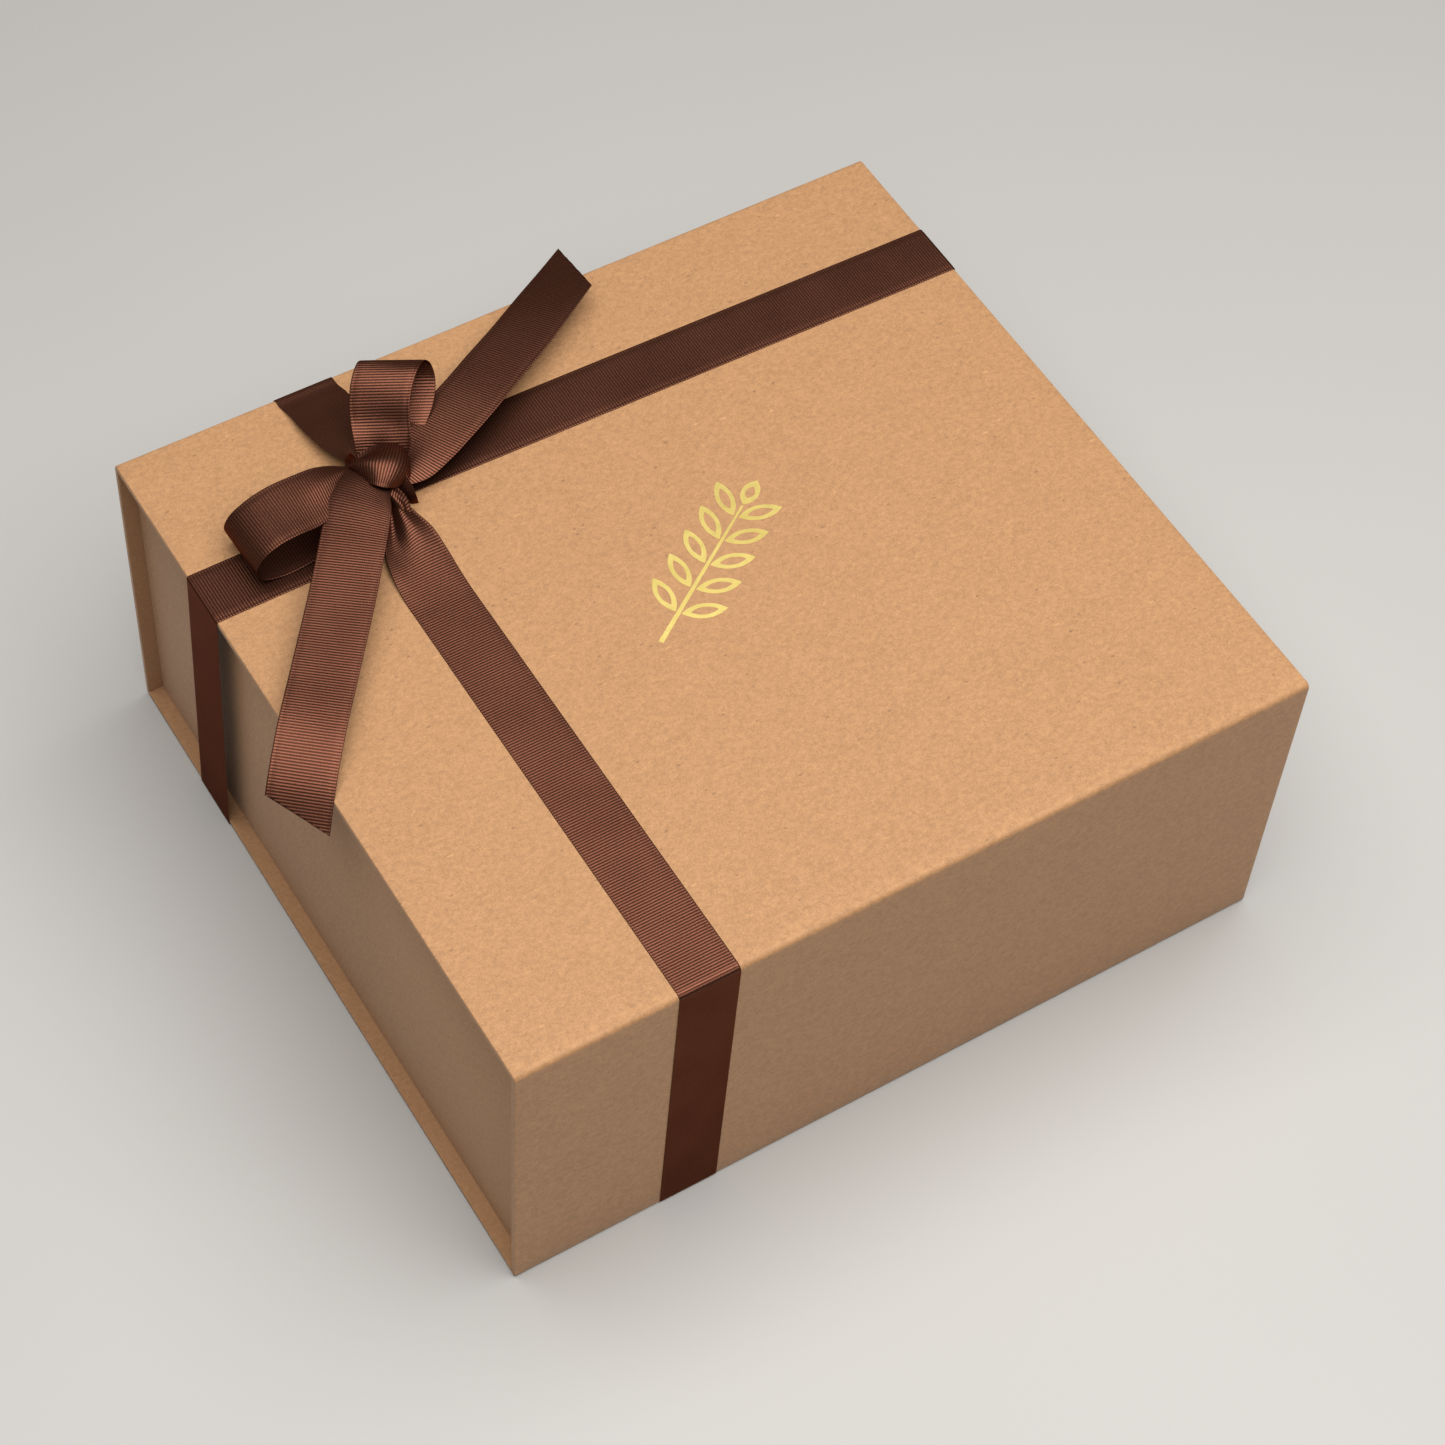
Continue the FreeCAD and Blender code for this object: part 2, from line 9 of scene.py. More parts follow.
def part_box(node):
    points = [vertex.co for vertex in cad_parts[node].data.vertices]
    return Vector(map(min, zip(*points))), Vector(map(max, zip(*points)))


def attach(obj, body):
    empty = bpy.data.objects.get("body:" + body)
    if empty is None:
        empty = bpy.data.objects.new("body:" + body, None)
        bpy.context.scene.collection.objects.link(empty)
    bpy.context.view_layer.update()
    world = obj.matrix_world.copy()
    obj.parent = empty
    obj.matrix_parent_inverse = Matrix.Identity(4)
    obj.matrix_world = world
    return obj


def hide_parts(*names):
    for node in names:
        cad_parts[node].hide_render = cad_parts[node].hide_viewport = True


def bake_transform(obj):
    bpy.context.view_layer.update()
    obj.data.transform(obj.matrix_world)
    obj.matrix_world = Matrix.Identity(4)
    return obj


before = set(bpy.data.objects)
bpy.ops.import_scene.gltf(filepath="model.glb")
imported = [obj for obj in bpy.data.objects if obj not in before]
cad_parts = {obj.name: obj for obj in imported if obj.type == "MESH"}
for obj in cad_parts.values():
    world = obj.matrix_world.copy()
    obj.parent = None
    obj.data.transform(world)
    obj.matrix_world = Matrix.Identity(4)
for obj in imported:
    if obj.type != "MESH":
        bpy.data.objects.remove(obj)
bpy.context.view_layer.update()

# A book-style gift box in kraft paper, tied with grosgrain. Shapes are worked out in millimetres
# in the frame's own axes and are turned into metres when a mesh is made.
mm = 0.001
lidLow, lidHigh = (Vector(corner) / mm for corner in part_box("lid_wrap"))
flapLow = Vector(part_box("flap_wrap")[0]) / mm
spineHigh = Vector(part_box("spine_wrap")[1]) / mm
baseLow, baseHigh = (Vector(corner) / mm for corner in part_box("base_wrap"))
trayLow, trayHigh = (Vector(corner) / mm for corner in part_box("tray_wrap"))

case = {
    "left": lidLow.x,
    "right": lidHigh.x,
    "top": lidHigh.z,
    "bottom": baseLow.z,
    "back": spineHigh.y,
    "front": flapLow.y,
    "foldBack": lidHigh.y,       # middle of the fold between lid and spine
    "foldFront": lidLow.y,       # middle of the fold between lid and flap
    "foldTop": lidHigh.z - (spineHigh.y - lidHigh.y),
    "foldRound": spineHigh.y - lidHigh.y,
    "foldSteps": 8,
    "foldReach": 5.0,            # the paper ripples and carries a painted highlight this far from a fold
    "foldRipple": 0.07,
    "foldSink": 0.14,            # the paper dips a little where the board ends
    "foldClear": 1.0,            # a flat run stops this far from a fold
    "dipFrom": 9.0,
    "dip": ((5.0, 0.3), (2.5, 0.8), (1.0, 1.0)),     # distance from the fold, share of the sink
    "dipFade": 0.7,              # round the fold it fades until the paper has turned this far down
    "edgeRound": 0.45,
    "paper": 0.2,
    "lip": 2.1,                  # how far the paper turns in round a board's edge
    "trayRim": 2.3,
    "columnStep": 3.0,
    "crisp": 38.0,               # an edge that turns more than this many degrees reads as sharp
}

ribbon = {
    "halfWidth": 11.0,
    "pitch": 1.03,               # from rib to rib
    "rowsPerRib": 6,
    "core": 0.04,                # half the thickness in a groove
    "rib": 0.16,
    "ribRound": 0.62,            # below 1 the ribs are blunt and the grooves narrow
    "tooth": 0.12,               # how far a rib's end stands out at the selvedge
    "above": 0.2,                # middle of the cloth over what it lies on
    # lines of points from the selvedge inwards, as shares of the half width: first those of the
    # selvedge, each with its share of the thickness, then those of the plain cloth
    "selvedge": {1.0: 0.0, 0.99: 0.62, 0.955: 0.95, 0.915: 0.5, 0.875: 0.95},
    "lines": (0.7, 0.5, 0.3, 0.1),
    "flatLines": (0.4,),         # enough where the cloth never bends across
}

colours = {                      # darkest and lightest of each
    "kraft": ((0.314, 0.156, 0.063), (0.466, 0.24, 0.101)),
    "lining": ((0.3, 0.153, 0.067), (0.4, 0.21, 0.095)),
    "board": ((0.2, 0.185, 0.165), (0.31, 0.29, 0.26)),
    "tape": ((0.36, 0.24, 0.13), (0.5, 0.36, 0.22)),
    "nickel": ((0.5, 0.49, 0.46), (0.66, 0.65, 0.62)),
    "foil": ((0.62, 0.47, 0.12), (0.86, 0.69, 0.24)),
    "warp": ((0.124, 0.045, 0.027), (0.208, 0.08, 0.048)),
    "floor": ((0.44, 0.426, 0.402), (0.47, 0.456, 0.431)),
}
# painted shade: the near-black brown that the grooves between a ribbon's ribs are darkened towards
grooveShadeColour = (0.008, 0.0027, 0.0017)

# flecks in the pulp: dark shives in a darker tone of the paper, pale hairs in a lighter one
shives = {"stretch": (1.0, 1.9, 1.4), "scale": 210.0, "size": 0.16, "strength": 0.42, "shade": 0.42}
hairs = {"stretch": (1.0, 3.2, 2.0), "scale": 120.0, "size": 0.14, "strength": 0.35, "shade": 1.5}
hairsToShives = 0.7


class Wire:
    # one output of a node; the operators add Math nodes
    def __init__(self, graph, socket):
        self.graph = graph
        self.socket = socket

    def calc(self, operation, *values):
        return self.graph.node("ShaderNodeMath", {"operation": operation}, dict(enumerate(values)))

    def __add__(self, other):
        return self.calc("ADD", self, other)

    def __radd__(self, other):
        return self.calc("ADD", other, self)

    def __sub__(self, other):
        return self.calc("SUBTRACT", self, other)

    def __rsub__(self, other):
        return self.calc("SUBTRACT", other, self)

    def __mul__(self, other):
        return self.calc("MULTIPLY", self, other)

    def __rmul__(self, other):
        return self.calc("MULTIPLY", other, self)

    def __truediv__(self, other):
        return self.calc("DIVIDE", self, other)

    def __pow__(self, other):
        return self.calc("POWER", self, other)

    def __abs__(self):
        return self.calc("ABSOLUTE", self)

    def sine(self):
        return self.calc("SINE", self)

    def above(self, other):
        return self.calc("GREATER_THAN", self, other)

    def below(self, other):
        return self.calc("LESS_THAN", self, other)


class Graph:
    def __init__(self, tree):
        self.tree = tree

    def node(self, kind, settings=None, inputs=None, output=0):
        made = self.tree.nodes.new(kind)
        for name, value in (settings or {}).items():
            setattr(made, name, value)
        for name, value in (inputs or {}).items():
            if isinstance(value, Wire):
                self.tree.links.new(value.socket, made.inputs[name])
            else:
                made.inputs[name].default_value = value
        return Wire(self, made.outputs[output])


class Finish(Graph):
    # a material whose constants sit on the shader's own sockets
    def __init__(self, name, constants):
        self.material = bpy.data.materials.new(name)
        self.material.use_nodes = True
        super().__init__(self.material.node_tree)
        self.shader = self.tree.nodes["Principled BSDF"]
        for socket, value in constants.items():
            self.shader.inputs[socket].default_value = value
        self.place = self.node("ShaderNodeTexCoord", output="Object")

    def feed(self, socket, wire):
        self.tree.links.new(wire.socket, self.shader.inputs[socket])

    def stretched(self, x, y, z):
        return self.node("ShaderNodeMapping", {}, {"Vector": self.place, "Scale": (x, y, z)})

    def grain(self, scale, detail=3.0, where=None):
        return self.node("ShaderNodeTexNoise", {},
                         {"Vector": where or self.place, "Scale": scale, "Detail": detail})

    def mix(self, factor, first, second):
        # plain colours are given as red, green and blue
        ends = [value if isinstance(value, Wire) else (*value, 1.0) for value in (first, second)]
        return self.node("ShaderNodeMix", {"data_type": "RGBA"},
                         {"Factor": factor, 6: ends[0], 7: ends[1]}, output=2)

    def spread(self, value, low, high):
        # value from low to high becomes 0 to 1
        return self.node("ShaderNodeMapRange", {}, {"Value": value, 1: low, 2: high})

    def attribute(self, name):
        return self.node("ShaderNodeAttribute", {"attribute_name": name}, output="Fac")

    def flecks(self, kind, share):
        # share is how many of the cells hold a fleck
        cells = {"Vector": self.stretched(*kind["stretch"]), "Scale": kind["scale"]}
        near = self.node("ShaderNodeTexVoronoi", {}, cells)
        pick = self.node("ShaderNodeTexVoronoi", {}, cells, output="Color")
        return near.below(kind["size"]) * pick.above(1.0 - share) * kind["strength"]

    def bump(self, height, strength, distance):
        return self.node("ShaderNodeBump", {},
                         {"Height": height, "Strength": strength, "Distance": distance})


def shaded(colour, factor):
    return [min(1.0, part * factor) for part in colour]


def paperFinish(name, dark, light, speckle, roughness):
    # pulp: soft clouds, felted fibres, dark shives and a few pale hairs
    finish = Finish(name, {"Roughness": roughness, "Specular IOR Level": 0.42, "Sheen Weight": 0.08,
                           "Sheen Roughness": 0.6})
    clouds = finish.grain(55.0, 2.0)
    felt = finish.grain(520.0, 4.0, finish.stretched(1.0, 1.35, 1.2))
    fine = finish.grain(1700.0, 2.0)
    tone = finish.spread(0.06 * clouds + 0.44 * felt + 0.5 * fine, 0.34, 0.66)
    colour = finish.mix(tone, dark, light)
    colour = finish.mix(finish.flecks(shives, speckle), colour, shaded(dark, shives["shade"]))
    colour = finish.mix(finish.flecks(hairs, hairsToShives * speckle), colour, shaded(light, hairs["shade"]))
    # painted highlight: the paper near a fold is painted paler, in patches
    foldHighlight = finish.attribute("crease") * finish.spread(finish.grain(260.0, 3.0), 0.4, 0.75)
    colour = finish.mix(foldHighlight * 0.4, colour, shaded(light, 1.28))
    finish.feed("Base Color", colour)
    finish.feed("Normal", finish.bump(felt * 0.6 + fine * 0.4, 0.3, 0.00012))
    return finish.material


def boardFinish():
    finish = Finish("greyboard", {"Roughness": 0.9, "Specular IOR Level": 0.2})
    pulp = finish.grain(520.0, 4.0)
    plies = finish.grain(60.0, 2.0, finish.stretched(1.0, 1.0, 14.0))
    tone = finish.spread(0.6 * pulp + 0.4 * plies, 0.38, 0.62)
    finish.feed("Base Color", finish.mix(tone, *colours["board"]))
    finish.feed("Normal", finish.bump(pulp, 0.4, 0.0002))
    return finish.material


def tapeFinish():
    finish = Finish("stayTape", {"Roughness": 0.7})
    strands = finish.grain(700.0, 3.0, finish.stretched(0.3, 0.3, 1.6))
    finish.feed("Base Color", finish.mix(strands, *colours["tape"]))
    finish.feed("Normal", finish.bump(strands, 0.3, 0.0001))
    return finish.material


def magnetFinish():
    finish = Finish("nickelPlate", {"Metallic": 1.0})
    brushed = finish.grain(900.0, 3.0, finish.stretched(1.0, 0.2, 1.0))
    finish.feed("Base Color", finish.mix(brushed, *colours["nickel"]))
    finish.feed("Roughness", 0.22 + 0.2 * brushed)
    return finish.material


def foilFinish():
    finish = Finish("goldFoil", {"Metallic": 0.9, "Specular Tint": (1.0, 0.9, 0.6, 1.0)})
    press = finish.grain(650.0, 3.0)
    drift = finish.grain(70.0, 2.0)
    finish.feed("Base Color", finish.mix(drift, *colours["foil"]))
    finish.feed("Roughness", 0.34 + 0.2 * press)
    finish.feed("Normal", finish.bump(press, 0.2, 0.0001))
    return finish.material


def grosgrainFinish():
    # bright twisted threads over each rib, and painted shade in the grooves between the ribs
    finish = Finish("grosgrain", {"Metallic": 0.88, "Specular IOR Level": 0.25,
                                  "Specular Tint": (0.55, 0.36, 0.29, 1.0)})
    along = finish.attribute("along")
    across = finish.attribute("across")
    groove = finish.attribute("groove")
    cell = finish.node("ShaderNodeCombineXYZ", {}, {0: across * 4.5, 1: along * 0.8})
    threads = finish.grain(1.0, 2.0, cell)
    clouds = finish.grain(45.0, 2.0)
    tone = finish.spread(0.6 * threads + 0.4 * clouds, 0.3, 0.7)
    warp = finish.mix(tone, *colours["warp"])
    # painted shade: the grooves between the ribs are darkened, more where the groove is deeper
    finish.feed("Base Color", finish.mix(groove ** 0.6 * 0.96, warp, grooveShadeColour))
    finish.feed("Roughness", 0.3 + 0.1 * threads + 0.24 * groove)
    finish.feed("Normal", finish.bump(threads, 0.2, 0.0001))
    return finish.material


kraft = paperFinish("kraft", *colours["kraft"], speckle=0.2, roughness=0.62)
liningPaper = paperFinish("liningPaper", *colours["lining"], speckle=0.1, roughness=0.75)
greyboard = boardFinish()
stayTape = tapeFinish()
nickelPlate = magnetFinish()
goldFoil = foilFinish()
grosgrain = grosgrainFinish()
print("finishes ready")


def newObject(name, mesh):
    item = bpy.data.objects.new(name, mesh)
    bpy.context.scene.collection.objects.link(item)
    return item


def addNumbers(mesh, name, values, kind="FLOAT"):
    layer = mesh.attributes.new(name, kind, "POINT")
    layer.data.foreach_set("vector" if kind == "FLOAT_VECTOR" else "value",
                           np.asarray(values, np.float32).ravel())


def settled(item):
    # the evaluated mesh takes the place of the modifiers
    mesh = bpy.data.meshes.new_from_object(item.evaluated_get(bpy.context.evaluated_depsgraph_get()))
    item.modifiers.clear()
    item.data = mesh
    return item


def kraftPiece(name, mesh):
    # the paper's thickness goes inside the outer surface
    mesh.polygons.foreach_set("use_smooth", [True] * len(mesh.polygons))
    mesh.materials.append(kraft)
    item = newObject(name, mesh)
    shell = item.modifiers.new("paper", "SOLIDIFY")
    shell.thickness = case["paper"] * mm
    shell.offset = -1.0
    shell.use_even_offset = True
    settled(item)
    item.data.set_sharp_from_angle(angle=math.radians(case["crisp"]))
    return item


def facesOut(mesh):
    # an open sheet whose middle face looks away from the box's centre
    body = bmesh.new()
    body.from_mesh(mesh)
    body.faces.ensure_lookup_table()
    centre = Vector((0, 0, case["top"] / 2)) * mm
    face = body.faces[len(body.faces) // 2]
    if face.normal.dot(face.calc_center_median() - centre) < 0:
        bmesh.ops.reverse_faces(body, faces=body.faces)
    body.to_mesh(mesh)
    body.free()


def straight(start, end, out, step=8.0):
    # places along a flat run, ends included, each with its outward direction
    (y0, z0), (y1, z1) = start, end
    count = max(1, round(math.dist(start, end) / step))
    return [(y0 + (y1 - y0) * i / count, z0 + (z1 - z0) * i / count, *out) for i in range(count + 1)]


def roundFold(y, z, radius, first, last, steps):
    # the same round a fold, between two angles in degrees
    angles = [math.radians(first + (last - first) * step / steps) for step in range(steps + 1)]
    return [(y + radius * math.cos(a), z + radius * math.sin(a), math.cos(a), math.sin(a))
            for a in angles]


def rippleAt(x, y, z):
    # a slow wave and a quicker one of half its height
    slow = noise.noise(Vector((x * 0.045, y * 0.02, z * 0.02)))
    return slow + 0.5 * noise.noise(Vector((x * 0.16, 7.0, y * 0.05)))


def foldedWrap(name, route, fold):
    # route runs down the middle of the sheet, which turns in at both sides and carries a painted highlight
    # at the fold
    half = (case["right"] - case["left"]) / 2
    middle = (case["right"] + case["left"]) / 2
    turn = case["edgeRound"]
    count = int(2 * half / case["columnStep"])
    flat = [(-half + turn + (2 * half - 2 * turn) * step / count, 0.0) for step in range(count + 1)]
    corner = [(-half + turn - turn * math.sin(a), turn - turn * math.cos(a))
              for a in map(math.radians, (90, 60, 30))]
    side = [(-half, case["lip"])] + corner
    profile = side + flat + [(-x, depth) for x, depth in side[::-1]]
    points = []
    highlightShare = []
    for y, z, outY, outZ in route:
        near = 1.0 - min(1.0, math.dist((y, z), fold) / case["foldReach"])
        for x, depth in profile:
            lift = near * case["foldRipple"] * rippleAt(x, y, z) if depth == 0 else 0.0
            sink = depth - lift
            points.append(((middle + x) * mm, (y - outY * sink) * mm, (z - outZ * sink) * mm))
            highlightShare.append(near)
    wide = len(profile)
    faces = [(r * wide + c, r * wide + c + 1, (r + 1) * wide + c + 1, (r + 1) * wide + c)
             for r in range(len(route) - 1) for c in range(wide - 1)]
    mesh = bpy.data.meshes.new(name)
    mesh.from_pydata(points, [], faces)
    # how near each point is to the fold, which sets how strong the painted highlight is there
    addNumbers(mesh, "crease", highlightShare)
    facesOut(mesh)
    return kraftPiece(name, mesh)


def makeLidAndFlapWrap():
    top, front, low = case["top"], case["front"], flapLow.z
    foldY, foldZ = case["foldFront"], case["foldTop"]
    sink, turn = case["foldSink"], case["edgeRound"]
    route = straight((case["foldBack"], top), (foldY + case["dipFrom"], top), (0, 1))
    route += [(foldY + away, top - share * sink, 0, 1) for away, share in case["dip"]]
    route += [(y, z - sink * max(0.0, outZ - case["dipFade"]), outY, outZ)
              for y, z, outY, outZ in roundFold(foldY, foldZ, case["foldRound"], 90, 180, case["foldSteps"])]
    route += straight((front, foldZ - case["foldClear"]), (front, low + turn), (-1, 0))
    route += roundFold(front + turn, low + turn, turn, 210, 270, 2)
    wrap = foldedWrap("lidAndFlapWrap", route, (foldY, top))
    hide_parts("lid_wrap", "flap_fold_strip", "flap_wrap")
    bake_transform(wrap)


def makeSpineWrap():
    radius, steps, clear = case["foldRound"], case["foldSteps"], case["foldClear"]
    back, foldY, foldZ = case["back"], case["foldBack"], case["foldTop"]
    low = case["bottom"] + radius
    route = roundFold(foldY, low, radius, -90, 0, steps)
    route += straight((back, low + clear), (back, foldZ - clear), (1, 0))
    route += roundFold(foldY, foldZ, radius, 0, 90, steps)
    wrap = foldedWrap("spineWrap", route, (back, case["top"]))
    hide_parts("spine_wrap", "lid_fold_strip")
    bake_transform(wrap)


def boxShell(name, low, high, openSides, rim=0.0):
    # a wrap round a board or a tray: rounded where it turns, open on the sides named by axis and
    # sign, with a rim of paper left round an open top
    body = bmesh.new()
    bmesh.ops.create_cube(body, size=1.0)
    middle = (low + high) / 2
    for vertex in body.verts:
        vertex.co = Vector((middle[i] + vertex.co[i] * (high[i] - low[i])) * mm for i in range(3))
    body.normal_update()
    openFaces = [face for face in body.faces
                 if any(face.normal[axis] * sign > 0.5 for axis, sign in openSides)]
    if rim:
        mouth = [face for face in openFaces if face.normal.z > 0.5]
        bmesh.ops.inset_region(body, faces=mouth, thickness=rim * mm)
    bmesh.ops.delete(body, geom=openFaces, context="FACES")
    turning = [edge for edge in body.edges if len(edge.link_faces) == 2 and edge.calc_face_angle() > 0.5]
    bmesh.ops.bevel(body, geom=turning, offset=case["edgeRound"] * mm, segments=3, profile=0.5,
                    affect="EDGES")
    mesh = bpy.data.meshes.new(name)
    body.to_mesh(mesh)
    body.free()
    return kraftPiece(name, mesh)


def makeBaseAndTrayWraps():
    base = boxShell("baseWrap", baseLow, baseHigh, [(2, 1), (1, 1)])
    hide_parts("base_wrap")
    tray = boxShell("trayWrap", trayLow, trayHigh, [(2, 1), (2, -1)], case["trayRim"])
    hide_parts("tray_wrap")
    for item in (base, tray):
        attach(item, "base_and_tray")


def finishHiddenPieces():
    looks = {
        "board": greyboard, "wall": greyboard, "floor": greyboard, "liner": liningPaper,
        "magnets": nickelPlate, "stays": stayTape, "sprig": goldFoil,
    }
    for name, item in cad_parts.items():
        for word, look in looks.items():
            if name.endswith(word):
                item.data.materials.clear()
                item.data.materials.append(look)


makeLidAndFlapWrap()
makeSpineWrap()
makeBaseAndTrayWraps()
finishHiddenPieces()
print("case wrapped")


class Growth(Graph):
    # a Geometry Nodes tree with named inputs, and a Material input for what it ends in
    def __init__(self, name, inputs):
        super().__init__(bpy.data.node_groups.new(name, "GeometryNodeTree"))
        sockets = self.tree.interface
        sockets.new_socket("Geometry", in_out="OUTPUT", socket_type="NodeSocketGeometry")
        for socket, kind in {"Geometry": "Geometry", **inputs, "Material": "Material"}.items():
            sockets.new_socket(socket, in_out="INPUT", socket_type=f"NodeSocket{kind}")
        start = self.tree.nodes.new("NodeGroupInput")
        self.given = {socket.name: Wire(self, socket) for socket in start.outputs if socket.name}

    def end(self, geometry):
        real = self.node("GeometryNodeRealizeInstances", {}, {"Geometry": geometry})
        dressed = self.node("GeometryNodeSetMaterial", {},
                            {"Geometry": real, "Material": self.given["Material"]})
        self.tree.links.new(dressed.socket, self.tree.nodes.new("NodeGroupOutput").inputs[0])

    def joined(self, parts):
        made = self.node("GeometryNodeJoinGeometry")
        for part in parts:
            self.tree.links.new(part.socket, made.socket.node.inputs[0])
        return made

    def grow(self, item, values):
        # runs the tree on a piece and leaves a plain mesh
        modifier = item.modifiers.new("growth", "NODES")
        modifier.node_group = self.tree
        for socket in self.tree.interface.items_tree:
            if socket.in_out == "INPUT" and socket.name in values:
                modifier[socket.identifier] = values[socket.name]
        settled(item)


def weaveGrowth():
    # stands each point off the middle of the cloth: ribs on both faces, small teeth at the selvedge
    weave = Growth("ribWeave", dict.fromkeys(("Pitch", "Core", "Rib", "Tooth", "Shade"), "Float"))
    given = weave.given

    def stored(name, kind="FLOAT"):
        return weave.node("GeometryNodeInputNamedAttribute", {"data_type": kind}, {"Name": name},
                          output="Attribute")

    turn = stored("along") * math.pi / given["Pitch"]
    wave = abs(turn.sine()) ** ribbon["ribRound"]
    standOff = (given["Core"] + given["Rib"] * wave) * stored("swell")
    standOff = standOff + given["Tooth"] * wave * stored("selvedge")
    offset = weave.node("ShaderNodeVectorMath", {"operation": "SCALE"},
                        {0: stored("outward", "FLOAT_VECTOR"), "Scale": standOff * mm})
    shaped = weave.node("GeometryNodeSetPosition", {}, {"Geometry": given["Geometry"], "Offset": offset})
    # the stored share is the painted shade each groove gets, scaled by Shade
    weave.end(weave.node("GeometryNodeStoreNamedAttribute", {"data_type": "FLOAT", "domain": "POINT"},
                         {"Geometry": shaped, "Name": "groove", "Value": (1.0 - wave) * given["Shade"]}))
    return weave


ribWeave = weaveGrowth()


def at(x, y, z, right, full=1.0, cup=0.0, pleat=0.0):
    # one place on a ribbon's middle: right points to its right-hand selvedge, full is how much of
    # its width is spread out, cup lifts both selvedges, pleat lets it ripple across
    return [x, y, z, *Vector(right).normalized(), full, cup, pleat]


def smoothRows(stations, step):
    # a cubic curve through the stations, at even steps along the cloth
    keys = np.array(stations, float)
    gaps = np.linalg.norm(np.diff(keys[:, :3], axis=0), axis=1)
    marks = np.concatenate([[0], np.cumsum(gaps)])
    slopes = np.gradient(keys, marks, axis=0)

    def curve(where):
        slot = np.clip(np.searchsorted(marks, where, side="right") - 1, 0, len(marks) - 2)
        span = (marks[slot + 1] - marks[slot])[:, None]
        t = (where[:, None] - marks[slot][:, None]) / span
        return ((2 * t ** 3 - 3 * t ** 2 + 1) * keys[slot] + (t ** 3 - 2 * t ** 2 + t) * span * slopes[slot]
                + (3 * t ** 2 - 2 * t ** 3) * keys[slot + 1] + (t ** 3 - t ** 2) * span * slopes[slot + 1])

    finePerMm = 8
    fine = np.linspace(0, marks[-1], int(marks[-1] * finePerMm) + 2)
    line = curve(fine)[:, :3]
    run = np.concatenate([[0], np.cumsum(np.linalg.norm(np.diff(line, axis=0), axis=1))])
    count = max(2, int(run[-1] / step))
    along = np.linspace(0, run[-1], count + 1)
    return along, curve(np.interp(along, run, fine))


def ribbonStrip(stations, cutAtEnd=0.0, lines=ribbon["lines"]):
    # a closed thin strip; cutAtEnd leaves its right-hand side that much shorter at the end
    half = ribbon["halfWidth"]
    selvedge = ribbon["selvedge"]
    shares = [*selvedge, *lines]
    face = [-share for share in shares] + shares[::-1]
    ring = face + face[-2:0:-1]
    along, rows = smoothRows(stations, ribbon["pitch"] / ribbon["rowsPerRib"])
    heading = np.gradient(rows[:, :3], along, axis=0)
    points = []
    outward = []
    numbers = {"along": [], "across": [], "swell": [], "selvedge": []}
    for column, share in enumerate(ring):
        where = np.minimum(along, along[-1] - cutAtEnd * (share + 1) / 2)
        here = np.column_stack([np.interp(where, along, values) for values in rows.T])
        ahead = np.column_stack([np.interp(where, along, values) for values in heading.T])
        right = here[:, 3:6]
        right = right / np.linalg.norm(right, axis=1)[:, None]
        up = np.cross(right, ahead)
        up = up / np.linalg.norm(up, axis=1)[:, None]
        full, cup, pleat = here[:, 6:7], here[:, 7:8], here[:, 8:9]
        # the cup is level on average, and a pleat is most of one wave
        height = cup * (share ** 2 - 0.33) + pleat * math.sin(4.2 * share + 0.5)
        points.append(here[:, :3] + right * full * share * half + up * height)
        onEdge = abs(share) == 1.0
        facing = 1.0 if column < len(face) else -1.0
        outward.append(right * share if onEdge else up * facing)
        numbers["along"].append(where)
        numbers["across"].append(np.full_like(where, share * half))
        numbers["swell"].append(np.full_like(where, selvedge.get(abs(share), 1.0)))
        numbers["selvedge"].append(np.full_like(where, 1.0 if onEdge else 0.0))
    return {
        "points": np.stack(points, axis=1),
        "outward": np.stack(outward, axis=1),
        "numbers": {key: np.stack(value, axis=1) for key, value in numbers.items()},
        "columns": len(face),
        "length": along[-1],
    }


def stripFaces(rows, ring, top, first):
    # the skin, then a cap at both ends; a cap's faces at the selvedges have three corners
    def corner(row, column):
        return first + row * ring + column % ring

    faces = [(corner(r, c), corner(r, c + 1), corner(r + 1, c + 1), corner(r + 1, c))
             for r in range(rows - 1) for c in range(ring)]
    for row, order in ((0, 1), (rows - 1, -1)):
        for c in range(top - 1):
            quad = (corner(row, c), corner(row, ring - c), corner(row, ring - c - 1), corner(row, c + 1))
            faces.append(tuple(dict.fromkeys(quad[::order])))
    return faces


